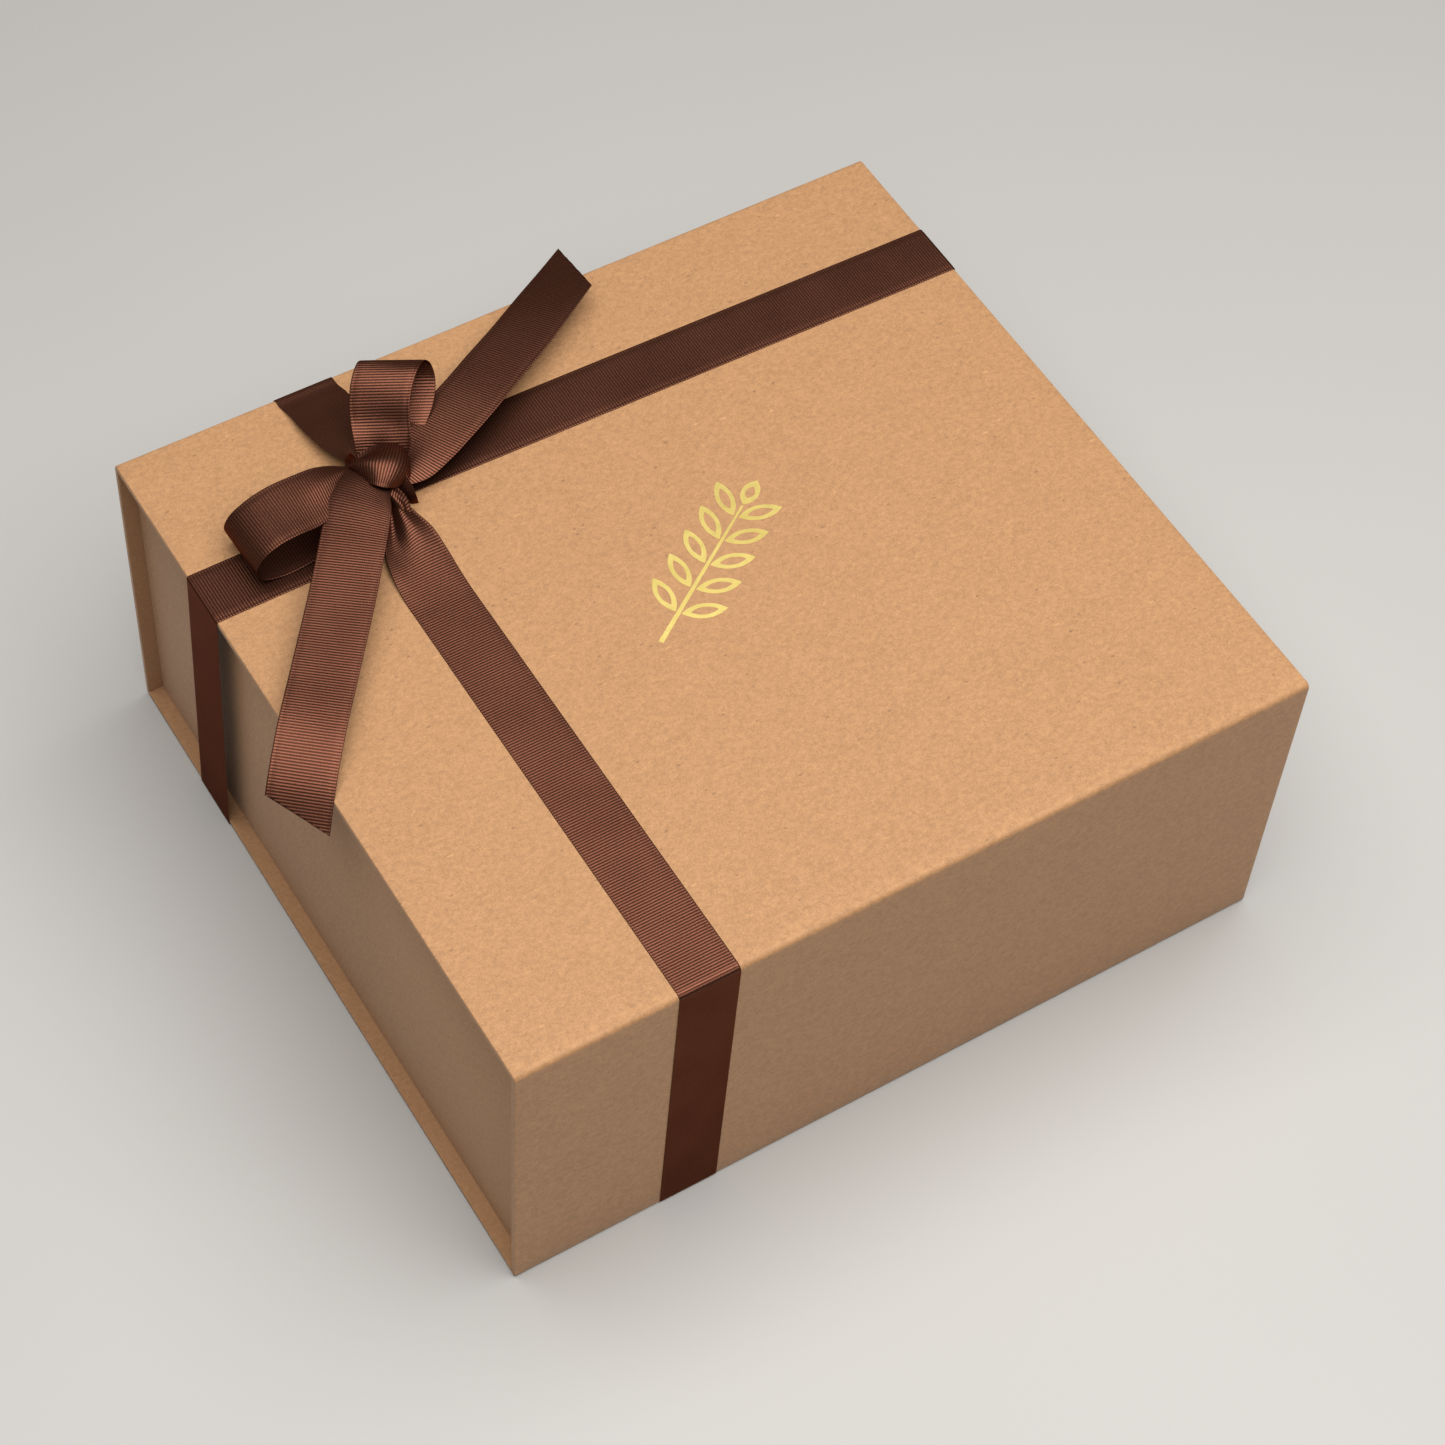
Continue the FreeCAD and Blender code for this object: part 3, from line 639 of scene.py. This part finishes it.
def weaveRibbon(name, strips, nodes, cutLength=None, relief=1.0):
    # relief below 1 is cloth pulled taut, whose ribs lie flatter and whose grooves get less painted shade
    points, outward, faces = [], [], []
    numbers = {key: [] for key in strips[0]["numbers"]}
    first = 0
    for strip in strips:
        rows, ring = strip["points"].shape[:2]
        faces += stripFaces(rows, ring, strip["columns"], first)
        first += rows * ring
        points.append(strip["points"].reshape(-1, 3))
        outward.append(strip["outward"].reshape(-1, 3))
        for key in numbers:
            numbers[key].append(strip["numbers"][key].ravel())
    mesh = bpy.data.meshes.new(name)
    mesh.from_pydata((np.concatenate(points) * mm).tolist(), [], faces)
    for key, parts in numbers.items():
        addNumbers(mesh, key, np.concatenate(parts))
    addNumbers(mesh, "outward", np.concatenate(outward), "FLOAT_VECTOR")
    body = bmesh.new()
    body.from_mesh(mesh)
    bmesh.ops.dissolve_degenerate(body, dist=0.002 * mm, edges=body.edges)
    bmesh.ops.recalc_face_normals(body, faces=body.faces)
    body.to_mesh(mesh)
    body.free()
    mesh.polygons.foreach_set("use_smooth", [True] * len(mesh.polygons))
    item = newObject(name, mesh)
    ribWeave.grow(item, {"Pitch": ribbon["pitch"], "Core": ribbon["core"], "Rib": ribbon["rib"] * relief,
                         "Tooth": ribbon["tooth"], "Shade": relief ** 0.5, "Material": grosgrain})
    for spent in ("outward", "swell", "selvedge"):
        item.data.attributes.remove(item.data.attributes[spent])
    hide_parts(*nodes)
    length = cutLength or sum(strip["length"] for strip in strips)
    length * mm
    print(f"{name}: {length:.0f} mm of ribbon, {len(item.data.polygons)} faces")
    return item


def runOf(start, end, right, step=12.0, near=1.2):
    # straight stretch, with places close to both ends so that a bend beside it stays tight
    start, end = Vector(start), Vector(end)
    length = (end - start).length
    inside = [near] + [step * k for k in range(1, int(length / step))] + [length - near]
    marks = sorted({0.0, length, *[round(m, 3) for m in inside if near <= m <= length - near]})
    return [at(*start.lerp(end, mark / length), right) for mark in marks]


def bendOf(x, y, z, radius, plane, first, last, right, steps=5):
    # quarter turn round an edge; plane is "xz" or "yz"
    made = []
    for step in range(1, steps):
        angle = math.radians(first + (last - first) * step / steps)
        across, up = radius * math.cos(angle), radius * math.sin(angle)
        place = (x + across, y, z + up) if plane == "xz" else (x, y + across, z + up)
        made.append(at(*place, right))
    return made


def middleOf(node, run, across, end):
    # middle of a flat ribbon node's width at one end of its run; run and across are axis numbers
    places = np.array([vertex.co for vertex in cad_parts[node].data.vertices]) / mm
    edge = places[:, run].min() if end == "low" else places[:, run].max()
    return float(places[np.abs(places[:, run] - edge) < 0.01][:, across].mean())


belt = {
    "over": case["top"] + ribbon["above"],
    "under": ribbon["above"],
    "left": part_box("ribbon_left_drop")[0][0] / mm + ribbon["above"],
    "right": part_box("ribbon_right_drop")[1][0] / mm - ribbon["above"],
    "front": case["front"] - ribbon["above"],
    "back": case["back"] + ribbon["above"],
    "leftHigh": middleOf("ribbon_lid_long", 0, 1, "low"),
    "rightHigh": middleOf("ribbon_lid_long", 0, 1, "high"),
    "leftLow": middleOf("ribbon_left_drop", 2, 1, "low"),
    "rightLow": middleOf("ribbon_right_drop", 2, 1, "low"),
    "frontHigh": middleOf("ribbon_front_drop", 2, 0, "high"),
    "frontLow": middleOf("ribbon_front_drop", 2, 0, "low"),
    "backHigh": middleOf("ribbon_back_drop", 2, 0, "high"),
    "backLow": middleOf("ribbon_back_drop", 2, 0, "low"),
    "bend": 0.75,                # where it turns a plain edge
    "foldBend": case["foldRound"] + ribbon["above"],
    "foldSteps": 6,
    "seam": case["top"] - 1.3,   # the length over the lid ends here, and the side drops begin
    "seamGap": 0.1,
    "crossGap": 0.2,             # under the box, where the two lengths cross
    "underInset": 0.6,           # from the case's front and back
    "frontFoot": flapLow.z + 0.2,
    "backFoot": 0.5,
}

# under the knot the long ribbon is pulled back, out of line, and lies straight on either side
longPull = {
    "leaves": (-115.0, belt["leftHigh"] + 0.3),
    "places": [
        (-104.5, belt["leftHigh"] + 1.5, belt["over"], (0.15, -1, 0), 0.97),
        (-94.0, 76.6, belt["over"], (0.4, -0.92, 0), 0.88),
        (-83.5, 83.2, belt["over"], (0.42, -0.9, 0), 0.84),
        (-73.5, 87.2, belt["over"], (0.2, -1, 0), 0.94),
    ],
    "rejoins": (-63.0, 88.3),
}


def makeLongRibbon():
    # over the lid, turned down at both edges
    toRight = (0, -1, 0)
    left, right, top, bend = belt["left"], belt["right"], belt["over"], belt["bend"]
    leftY, rightY, seam = belt["leftHigh"], belt["rightHigh"], belt["seam"]
    path = [at(left, leftY, seam, toRight), at(left, leftY, top - bend, toRight)]
    path += bendOf(left + bend, leftY, top - bend, bend, "xz", 180, 90, toRight)
    path += runOf((left + bend, leftY, top), (*longPull["leaves"], top), toRight)
    path += [at(*place) for place in longPull["places"]]
    path += runOf((*longPull["rejoins"], top), (right - bend, rightY, top), toRight)
    path += bendOf(right - bend, rightY, top - bend, bend, "xz", 90, 0, toRight)
    path += [at(right, rightY, top - bend, toRight), at(right, rightY, seam, toRight)]
    item = weaveRibbon("longRibbon", [ribbonStrip(path)], ["ribbon_lid_long"])
    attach(item, "lid")


def makeSideDrops():
    # down the two sides, turned under the base
    toRight = (0, -1, 0)
    left, right, under, bend = belt["left"], belt["right"], belt["under"], belt["bend"]
    leftLow, rightLow = belt["leftLow"], belt["rightLow"]
    high = belt["seam"] - belt["seamGap"]
    path = [at(left + bend, leftLow, under, toRight)]
    path += bendOf(left + bend, leftLow, under + bend, bend, "xz", 270, 180, toRight)
    path += runOf((left, leftLow, under + bend), (left, belt["leftHigh"], high), toRight)
    item = weaveRibbon("leftDrop", [ribbonStrip(path)], ["ribbon_left_drop"],
                       relief=0.6)
    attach(item, "base_and_tray")
    path = runOf((right, belt["rightHigh"], high), (right, rightLow, under + bend), toRight)
    path += bendOf(right - bend, rightLow, under + bend, bend, "xz", 0, -90, toRight)
    path += [at(right - bend, rightLow, under, toRight)]
    item = weaveRibbon("rightDrop", [ribbonStrip(path)], ["ribbon_right_drop"],
                       relief=0.6)
    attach(item, "base_and_tray")


def makeUnderRibbon():
    # one length front to back, and one left to right that stops on either side of it
    toRight = (0, -1, 0)
    leftX, rightX = belt["left"] + belt["bend"], belt["right"] - belt["bend"]
    under, inset, gap = belt["under"], belt["underInset"], belt["seamGap"]
    slope = (belt["rightLow"] - belt["leftLow"]) / (rightX - leftX)
    cross = (belt["frontLow"] + belt["backLow"]) / 2
    half = ribbon["halfWidth"] + belt["crossGap"]

    def along(x):
        return (x, belt["leftLow"] + slope * (x - leftX), under)

    front = (belt["frontLow"], case["front"] + inset, under)
    back = (belt["backLow"], case["back"] - inset, under)
    runs = [
        runOf(front, back, (1, 0, 0)),
        runOf(along(leftX + gap), along(cross - half), toRight),
        runOf(along(cross + half), along(rightX - gap), toRight),
    ]
    strips = [ribbonStrip(run, lines=ribbon["flatLines"]) for run in runs]
    item = weaveRibbon("underRibbon", strips, ["ribbon_under"])
    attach(item, "base_and_tray")


# both short ribbons climb and gather towards the knot; the third number is the height over the lid
frontGather = {
    "leaves": (-81.7, 30.0),
    "places": [
        (-81.6, 40.0, 0.5, (1, 0, 0)),
        (-80.9, 50.0, 1.5, (1, 0.05, 0), 0.97, 0.3, 0.35),
        (-80.0, 58.5, 2.5, (0.98, 0.15, 0.1), 0.86, 0.3, 1.0),
        (-79.2, 65.5, 3.6, (0.95, 0.25, 0.2), 0.6, 0.0, 1.5),
        (-78.2, 71.5, 5.0, (0.9, 0.3, 0.25), 0.36, 0.0, 1.3),
        (-77.4, 77.0, 6.4, (0.9, 0.3, 0.25), 0.26, 0.0, 0.9),
    ],
}


def makeFrontRibbon():
    toRight = (1, 0, 0)
    top, x, y = belt["over"], belt["frontHigh"], belt["front"]
    foldY, foldZ = case["foldFront"], case["foldTop"]
    path = runOf((belt["frontLow"], y, belt["frontFoot"]), (x, y, foldZ), toRight)
    path += bendOf(x, foldY, foldZ, belt["foldBend"], "yz", 180, 90, toRight, belt["foldSteps"])
    path += runOf((x, foldY, top), (*frontGather["leaves"], top), toRight)
    path += [at(placeX, placeY, top + rise, *rest) for placeX, placeY, rise, *rest in frontGather["places"]]
    item = weaveRibbon("frontRibbon", [ribbonStrip(path)], ["ribbon_lid_front", "ribbon_front_drop"],
                       relief=0.9)
    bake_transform(item)


backGather = [
    (-79.0, 87.0, 8.0, (0.9, -0.1, 0.2), 0.3, 0.0, 0.8),
    (-77.8, 93.0, 7.0, (0.95, -0.1, 0.1), 0.5, 0.0, 1.0),
    (-77.0, 100.0, 5.8, (1, 0, 0), 0.8, 0.0, 0.5),
    (-77.3, 109.0, 4.4, (1, 0, 0), 0.96, 0.1, 0.1),
    (-77.9, 119.0, 2.7, (1, 0, 0)),
    (-78.3, 128.0, 1.1, (1, 0, 0)),
    (belt["backHigh"], case["foldBack"] - 2.0, 0.1, (1, 0, 0)),
    (belt["backHigh"], case["foldBack"], 0.0, (1, 0, 0)),
]


def makeBackRibbon():
    toRight = (1, 0, 0)
    top, x, y = belt["over"], belt["backHigh"], belt["back"]
    foldY, foldZ = case["foldBack"], case["foldTop"]
    path = [at(placeX, placeY, top + rise, *rest) for placeX, placeY, rise, *rest in backGather]
    path += bendOf(x, foldY, foldZ, belt["foldBend"], "yz", 90, 0, toRight, belt["foldSteps"])
    path += runOf((x, y, foldZ), (belt["backLow"], y, belt["backFoot"]), toRight)
    item = weaveRibbon("backRibbon", [ribbonStrip(path)], ["ribbon_lid_back", "ribbon_back_drop"],
                       relief=0.4)
    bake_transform(item)


makeLongRibbon()
makeSideDrops()
makeUnderRibbon()
makeFrontRibbon()
makeBackRibbon()
print("box tied")


def tieBow(name, piece, placing=at):
    # every piece of the bow rides on the lid
    strips = [ribbonStrip([placing(*place) for place in path], piece.get("cutAtEnd", 0.0))
              for path in piece["paths"]]
    item = weaveRibbon(name, strips, [piece["node"]], piece.get("length"))
    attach(item, "lid")


leftLoop = {
    "node": "bow_loop_left",
    "held": "gathered",
    "restsOn": ["longRibbon"],
    "paths": [[
        (-82.0, 86.0, 138.6, (0.1, 1, 0.1), 0.28, 0.0, 0.6),
        (-88.0, 86.2, 141.6, (0.05, 1, 0.15), 0.45, 0.0, 0.9),
        (-96.0, 82.6, 144.6, (0, 1, 0.2), 0.8, -0.4, 0.5),
        (-106.5, 79.6, 146.9, (0, 1, 0.16), 0.96, -0.3, 0.1),
        (-116.5, 78.0, 148.5, (-0.05, 1, 0.06)),
        (-124.6, 76.9, 148.0, (-0.06, 1, 0)),
        (-130.6, 76.7, 144.2, (-0.06, 1, -0.02)),
        (-132.6, 76.8, 139.4, (-0.04, 1, -0.02)),
        (-130.4, 77.0, 134.4, (0, 1, 0)),
        (-124.5, 77.2, 131.7, (0, 1, 0)),
        (-113.0, 77.6, 131.4, (0, 1, 0)),
        (-99.0, 79.6, 132.2, (0, 1, 0), 0.9),
        (-89.0, 83.0, 134.2, (0.05, 1, 0), 0.6, 0.0, 0.5),
        (-82.0, 85.4, 136.6, (0.1, 1, 0), 0.32, 0.0, 0.6),
    ]],
}

# drawn in its own leaning frame: up the loop, out towards the front, to the right, then how full
# it is, its cup, its pleat and its tilt
backLoop = {
    "node": "bow_loop_back",
    "held": "gathered",
    "restsOn": [],
    "foot": (-73.5, 96.8, 140.8),
    "heading": 62.0,
    "rise": 36.0,
    "paths": [[
        (-10.0, 1.5, 3.4, 0.45, 0.0, 0.5),
        (-5.0, 4.2, 4.0, 0.78, 0.3, 0.5, 0.1),
        (0.5, 5.6, 4.0, 0.88, 0.9, 0.3, 0.15),
        (6.0, 5.4, 3.5, 0.92, 1.0, 0.0, 0.2),
        (12.0, 6.4, 3.3, 0.94, 0.4, 0.0, 0.2),
        (18.5, 6.6, 4.2, 0.96, 0.0, 0.0, 0.15),
        (23.6, 5.0, 5.8, 0.98, 0.0, 0.0, 0.1),
        (26.6, 1.4, 7.6, 1.0),
        (26.2, -3.0, 9.4, 1.0),
        (22.5, -6.2, 10.8, 1.0),
        (16.0, -7.0, 11.0, 0.98),
        (8.0, -6.0, 9.4, 0.92, 0.2, 0.1),
        (0.0, -4.4, 7.0, 0.75, 0.2, 0.4),
        (-8.0, -3.0, 4.4, 0.4, 0.0, 0.5),
    ]],
}


def leaning(up, out, side, full, cup=0.0, pleat=0.0, tilt=0.0):
    heading, rise = math.radians(backLoop["heading"]), math.radians(backLoop["rise"])
    ahead = Vector((math.cos(heading), math.sin(heading), 0.0))
    upLoop = ahead * math.cos(rise) + Vector((0, 0, math.sin(rise)))
    outLoop = Vector((0, 0, math.cos(rise))) - ahead * math.sin(rise)
    aside = Vector((math.sin(heading), -math.cos(heading), 0.0))
    place = Vector(backLoop["foot"]) + upLoop * up + outLoop * out + aside * side
    return at(*place, aside + outLoop * tilt, full, cup, pleat)


leftTail = {
    "node": "bow_tail_left",
    "held": "draped",
    "restsOn": ["bow_knot"],
    "cutAtEnd": 10.0,
    "paths": [[
        (-79.8, 84.2, 141.0, (-0.42, 0.9, 0), 0.82, -1.0, 0.3),
        (-84.6, 80.0, 143.6, (-0.5, 0.87, 0), 0.93, -1.6, 0.2),
        (-89.6, 73.4, 144.8, (-0.64, 0.77, 0), 1.0, -1.0),
        (-97.5, 62.4, 144.4, (-0.76, 0.65, 0), 1.0, -0.4),
        (-112.5, 42.5, 142.8, (-0.8, 0.6, 0)),
        (-132.5, 17.5, 141.0, (-0.78, 0.62, 0)),
        (-147.5, -1.0, 138.6, (-0.775, 0.63, 0)),
        (-156.5, -12.0, 132.4, (-0.77, 0.64, 0)),
        (-163.5, -20.5, 122.6, (-0.77, 0.64, 0)),
    ]],
}

backTail = {
    "node": "bow_tail_back",
    "held": "draped",
    "restsOn": ["bow_knot"],
    "cutAtEnd": 15.0,
    "paths": [[
        (-75.5, 81.5, 137.0, (0.4, -0.9, -0.1), 0.36, 0.0, 0.5),
        (-67.5, 82.4, 137.6, (0.45, -0.88, -0.12), 0.66, 0.3, 0.5),
        (-58.0, 87.4, 138.6, (0.52, -0.85, -0.08), 0.92, 0.4, 0.2),
        (-47.5, 92.4, 139.8, (0.536, -0.844, -0.02), 1.0, 0.2),
        (-35.6, 97.8, 140.6, (0.536, -0.844, 0.04)),
        (-21.0, 105.8, 140.6, (0.536, -0.844, 0.08)),
        (-6.0, 114.2, 140.0, (0.536, -0.844, 0.12)),
        (10.0, 124.0, 139.2, (0.536, -0.844, 0.18)),
        (22.4, 131.7, 138.2, (0.536, -0.844, 0.24)),
        (34.4, 139.0, 137.4, (0.536, -0.844, 0.26)),
    ]],
}

bowKnot = {
    "node": "bow_knot",
    "held": "gathered",
    "restsOn": [],
    "length": 55.0,              # ribbon that one turn round the knot takes
    "paths": [[                  # the wrap, the core inside it and a scrap at the lower right
        (-81.0, 86.6, 134.0, (-0.6, -0.8, 0), 0.3, 0.0, 0.3),
        (-85.0, 89.4, 137.6, (-0.6, -0.8, 0), 0.22, 0.0, 0.4),
        (-84.9, 88.8, 142.0, (-0.6, -0.8, 0), 0.3, -0.6, 1.0),
        (-81.6, 85.8, 145.9, (-0.62, -0.78, 0), 0.62, -2.0, 1.2),
        (-76.8, 82.0, 147.9, (-0.64, -0.77, 0), 0.84, -3.2, 0.5),
        (-72.0, 78.8, 146.2, (-0.66, -0.75, 0), 0.84, -3.4, 0.2),
        (-69.8, 77.6, 141.6, (-0.66, -0.75, 0), 0.62, -2.4, 0.3),
        (-71.6, 78.8, 137.4, (-0.64, -0.77, 0), 0.34, -1.0, 0.3),
        (-75.6, 81.6, 134.6, (-0.6, -0.8, 0), 0.24, 0.0, 0.2),
    ], [
        (-73.0, 73.6, 132.4, (-0.8, 0.6, 0), 0.4, 0.0, 0.4),
        (-74.0, 73.4, 137.0, (-0.8, 0.6, 0), 0.44, -1.0, 0.4),
        (-76.0, 77.6, 142.0, (-0.8, 0.6, 0), 0.6, -2.0, 0.4),
        (-77.6, 83.0, 144.0, (-0.8, 0.6, 0), 0.66, -2.4, 0.3),
        (-78.6, 88.4, 141.8, (-0.8, 0.6, 0), 0.6, -2.0, 0.4),
        (-80.0, 91.6, 137.0, (-0.8, 0.6, 0), 0.5, -1.0, 0.4),
        (-80.4, 91.0, 132.4, (-0.8, 0.6, 0), 0.4, 0.0, 0.4),
    ], [
        (-79.0, 75.6, 141.6, (0.5, 0.2, 0.8), 0.2, 0.0, 0.3),
        (-76.9, 72.2, 139.4, (0.6, 0.5, 0.5), 0.24, 0.3, 0.4),
        (-75.6, 69.2, 136.8, (0.8, 0.5, 0.1), 0.22, 0.3, 0.4),
        (-76.4, 67.0, 134.2, (0.9, 0.2, 0), 0.2, 0.0, 0.3),
    ]],
}

tieBow("leftLoop", leftLoop)
tieBow("backLoop", backLoop, leaning)
tieBow("leftTail", leftTail)
tieBow("backTail", backTail)
tieBow("bowKnot", bowKnot)
print("bow made")


sprig = {
    "middle": (4.0, 3.5),
    "tilt": 34.0,
    "reach": 76.0,
    "stemWidth": 1.7,
    "stemPast": 0.6,             # the stem runs this far into the leaf at the tip
    "leafLength": 17.0,
    "leafWidth": 6.2,
    "leafSteps": 14,             # along one side of a leaf
    "tipLength": 13.0,
    "tipGap": 5.5,               # from the last pair to the leaf at the tip
    "line": 1.5,
    "pointedEnd": 2.1,           # a leaf's ends are this many lines thick
    "stalk": 1.3,                # a leaf's foot to the middle of the stem
    "pairs": 5,
    "first": 13.0,
    "step": 11.4,
    "spread": 54.0,
    "closing": 2.0,
    "thick": 0.05,
}


def leafEdge(length, width, back):
    # one side of a pointed oval, tip to foot, drawn as the arc through its ends
    bulge = width / 2
    radius = (length ** 2 / 4 + bulge ** 2) / (2 * bulge)
    reach = math.asin(length / 2 / radius)
    steps = sprig["leafSteps"]
    turns = [reach * (1 - 2 * step / steps) for step in range(steps + 1)]
    return [(back + length / 2 + radius * math.sin(a), radius * math.cos(a) - radius + bulge) for a in turns]


def makeLeaf(length):
    # a flat outline of foil, laid from the middle of the stem
    line, width, foot = sprig["line"], sprig["leafWidth"], sprig["stalk"]
    inset = sprig["pointedEnd"] * line
    outer = leafEdge(length - foot, width, foot)
    inner = leafEdge(length - foot - 2 * inset, width - 2 * line, foot + inset)
    body = bmesh.new()
    for side in (1, -1):
        rims = [[body.verts.new((x, side * y, 0)) for x, y in edge] for edge in (outer, inner)]
        for step in range(len(outer) - 1):
            quad = [rims[0][step], rims[0][step + 1], rims[1][step + 1], rims[1][step]]
            body.faces.new(quad[::side])
    bmesh.ops.remove_doubles(body, verts=body.verts, dist=0.01)
    bmesh.ops.recalc_face_normals(body, faces=body.faces)
    for face in body.faces:
        if face.normal.z < 0:
            face.normal_flip()
    mesh = bpy.data.meshes.new("leaf")
    body.to_mesh(mesh)
    body.free()
    return newObject("leaf", mesh)


def sprigGrowth():
    # pairs of leaves set along a stem; each pair closes a little more towards the tip
    sizes = dict.fromkeys(("Foot", "First", "Step", "TipGap", "Spread", "Closing", "Thick"), "Float")
    growth = Growth("sprigGrowth", {"Leaf": "Object", "Tip": "Object", "Pairs": "Int", **sizes})
    given = growth.given

    def shapeOf(name):
        return growth.node("GeometryNodeObjectInfo", {}, {"Object": given[name]}, output="Geometry")

    def vector(axis, value):
        return growth.node("ShaderNodeCombineXYZ", {}, {axis: value})

    spread = (given["Spread"] - given["Closing"] * growth.node("GeometryNodeInputIndex")) * math.radians(1.0)
    start = given["Foot"] + given["First"]
    places = growth.node("GeometryNodeMeshLine", {"mode": "OFFSET"},
                         {"Count": given["Pairs"], "Start Location": vector(0, start),
                          "Offset": vector(0, given["Step"])})
    parts = [given["Geometry"]]
    for side in (1.0, -1.0):
        parts.append(growth.node("GeometryNodeInstanceOnPoints", {},
                                 {"Points": places, "Instance": shapeOf("Leaf"),
                                  "Rotation": vector(2, spread * side)}))
    tip = start + given["Step"] * (given["Pairs"] - 1) + given["TipGap"]
    parts.append(growth.node("GeometryNodeTransform", {},
                             {"Geometry": shapeOf("Tip"), "Translation": vector(0, tip)}))
    flat = growth.node("GeometryNodeRealizeInstances", {}, {"Geometry": growth.joined(parts)})
    growth.end(growth.node("GeometryNodeExtrudeMesh", {},
                           {"Mesh": flat, "Offset Scale": given["Thick"], "Individual": False}))
    return growth


def makeSprig():
    foot, wide = -sprig["reach"] / 2, sprig["stemWidth"]
    top = foot + sprig["first"] + sprig["step"] * (sprig["pairs"] - 1) + sprig["tipGap"] + sprig["stemPast"]
    ends = [(foot, -wide / 2), (top, -wide / 4), (top, wide / 4), (foot, wide / 2)]
    stem = bpy.data.meshes.new("foilSprig")
    stem.from_pydata([(x, y, 0) for x, y in ends], [], [(0, 1, 2, 3)])
    item = newObject("foilSprig", stem)
    leaf = makeLeaf(sprig["leafLength"])
    tip = makeLeaf(sprig["tipLength"])
    sprigGrowth().grow(item, {"Leaf": leaf, "Tip": tip, "Pairs": sprig["pairs"], "Foot": foot,
                              "First": sprig["first"], "Step": sprig["step"], "TipGap": sprig["tipGap"],
                              "Spread": sprig["spread"], "Closing": sprig["closing"],
                              "Thick": sprig["thick"], "Material": goldFoil})
    bpy.data.objects.remove(leaf)
    bpy.data.objects.remove(tip)
    turned = Matrix.Rotation(math.radians(sprig["tilt"]), 4, "Z")
    placed = Matrix.Translation((*sprig["middle"], case["top"]))
    item.data.transform(Matrix.Scale(mm, 4) @ placed @ turned)
    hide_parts("foil_sprig")
    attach(item, "lid")


makeSprig()
print("foil stamped")


view = {
    "place": (-406.16, -591.86, 1039.5),
    "target": (0.68, -16.53, 64.6),
    "roll": 4.754,
    "lens": 86.52,
    "sensor": 36.0,
    "reach": 20.0,               # metres
}

stage = {                        # metres and watts
    "floor": 6.0,
    "key": {"place": (0.03, -0.36, 1.4), "size": 1.75, "watts": 40.5, "aim": (0.0, -0.5, 0.1)},
    "air": 0.165,
    "airColour": (1.0, 0.99, 0.97, 1.0),
}


def makeCamera():
    data = bpy.data.cameras.new("camera")
    data.sensor_width = view["sensor"]
    data.lens = view["lens"]
    data.clip_end = view["reach"]
    place, target = Vector(view["place"]), Vector(view["target"])
    ahead = (target - place).normalized()
    side = ahead.cross(Vector((0, 0, 1))).normalized()
    up = side.cross(ahead)
    turn = math.radians(view["roll"])
    rolledSide = side * math.cos(turn) + up * math.sin(turn)
    rolledUp = up * math.cos(turn) - side * math.sin(turn)
    turned = Matrix((rolledSide, rolledUp, -ahead)).transposed().to_4x4()
    item = newObject("camera", data)
    item.matrix_world = Matrix.Translation(place * mm) @ turned
    bpy.context.scene.camera = item


def makeFloor():
    wide = stage["floor"]
    corners = [(-wide, -wide, 0), (wide, -wide, 0), (wide, wide, 0), (-wide, wide, 0)]
    mesh = bpy.data.meshes.new("floor")
    mesh.from_pydata(corners, [], [(0, 1, 2, 3)])
    floor = newObject("floor", mesh)
    finish = Finish("paleFloor", {"Roughness": 0.55, "Specular IOR Level": 0.4})
    finish.feed("Base Color", finish.mix(finish.grain(3.0, 2.0), *colours["floor"]))
    mesh.materials.append(finish.material)


def makeLight():
    key = stage["key"]
    data = bpy.data.lights.new("softbox", "AREA")
    data.shape = "SQUARE"
    data.size = key["size"]
    data.energy = key["watts"]
    item = newObject("softbox", data)
    item.location = key["place"]
    aim = Vector(key["aim"]) - Vector(key["place"])
    item.rotation_euler = aim.to_track_quat("-Z", "Y").to_euler()
    world = bpy.data.worlds.new("air")
    bpy.context.scene.world = world
    world.use_nodes = True
    air = world.node_tree.nodes["Background"]
    air.inputs["Color"].default_value = stage["airColour"]
    air.inputs["Strength"].default_value = stage["air"]
    bpy.context.scene.view_settings.view_transform = "Standard"


makeCamera()
makeFloor()
makeLight()
print("stage set")
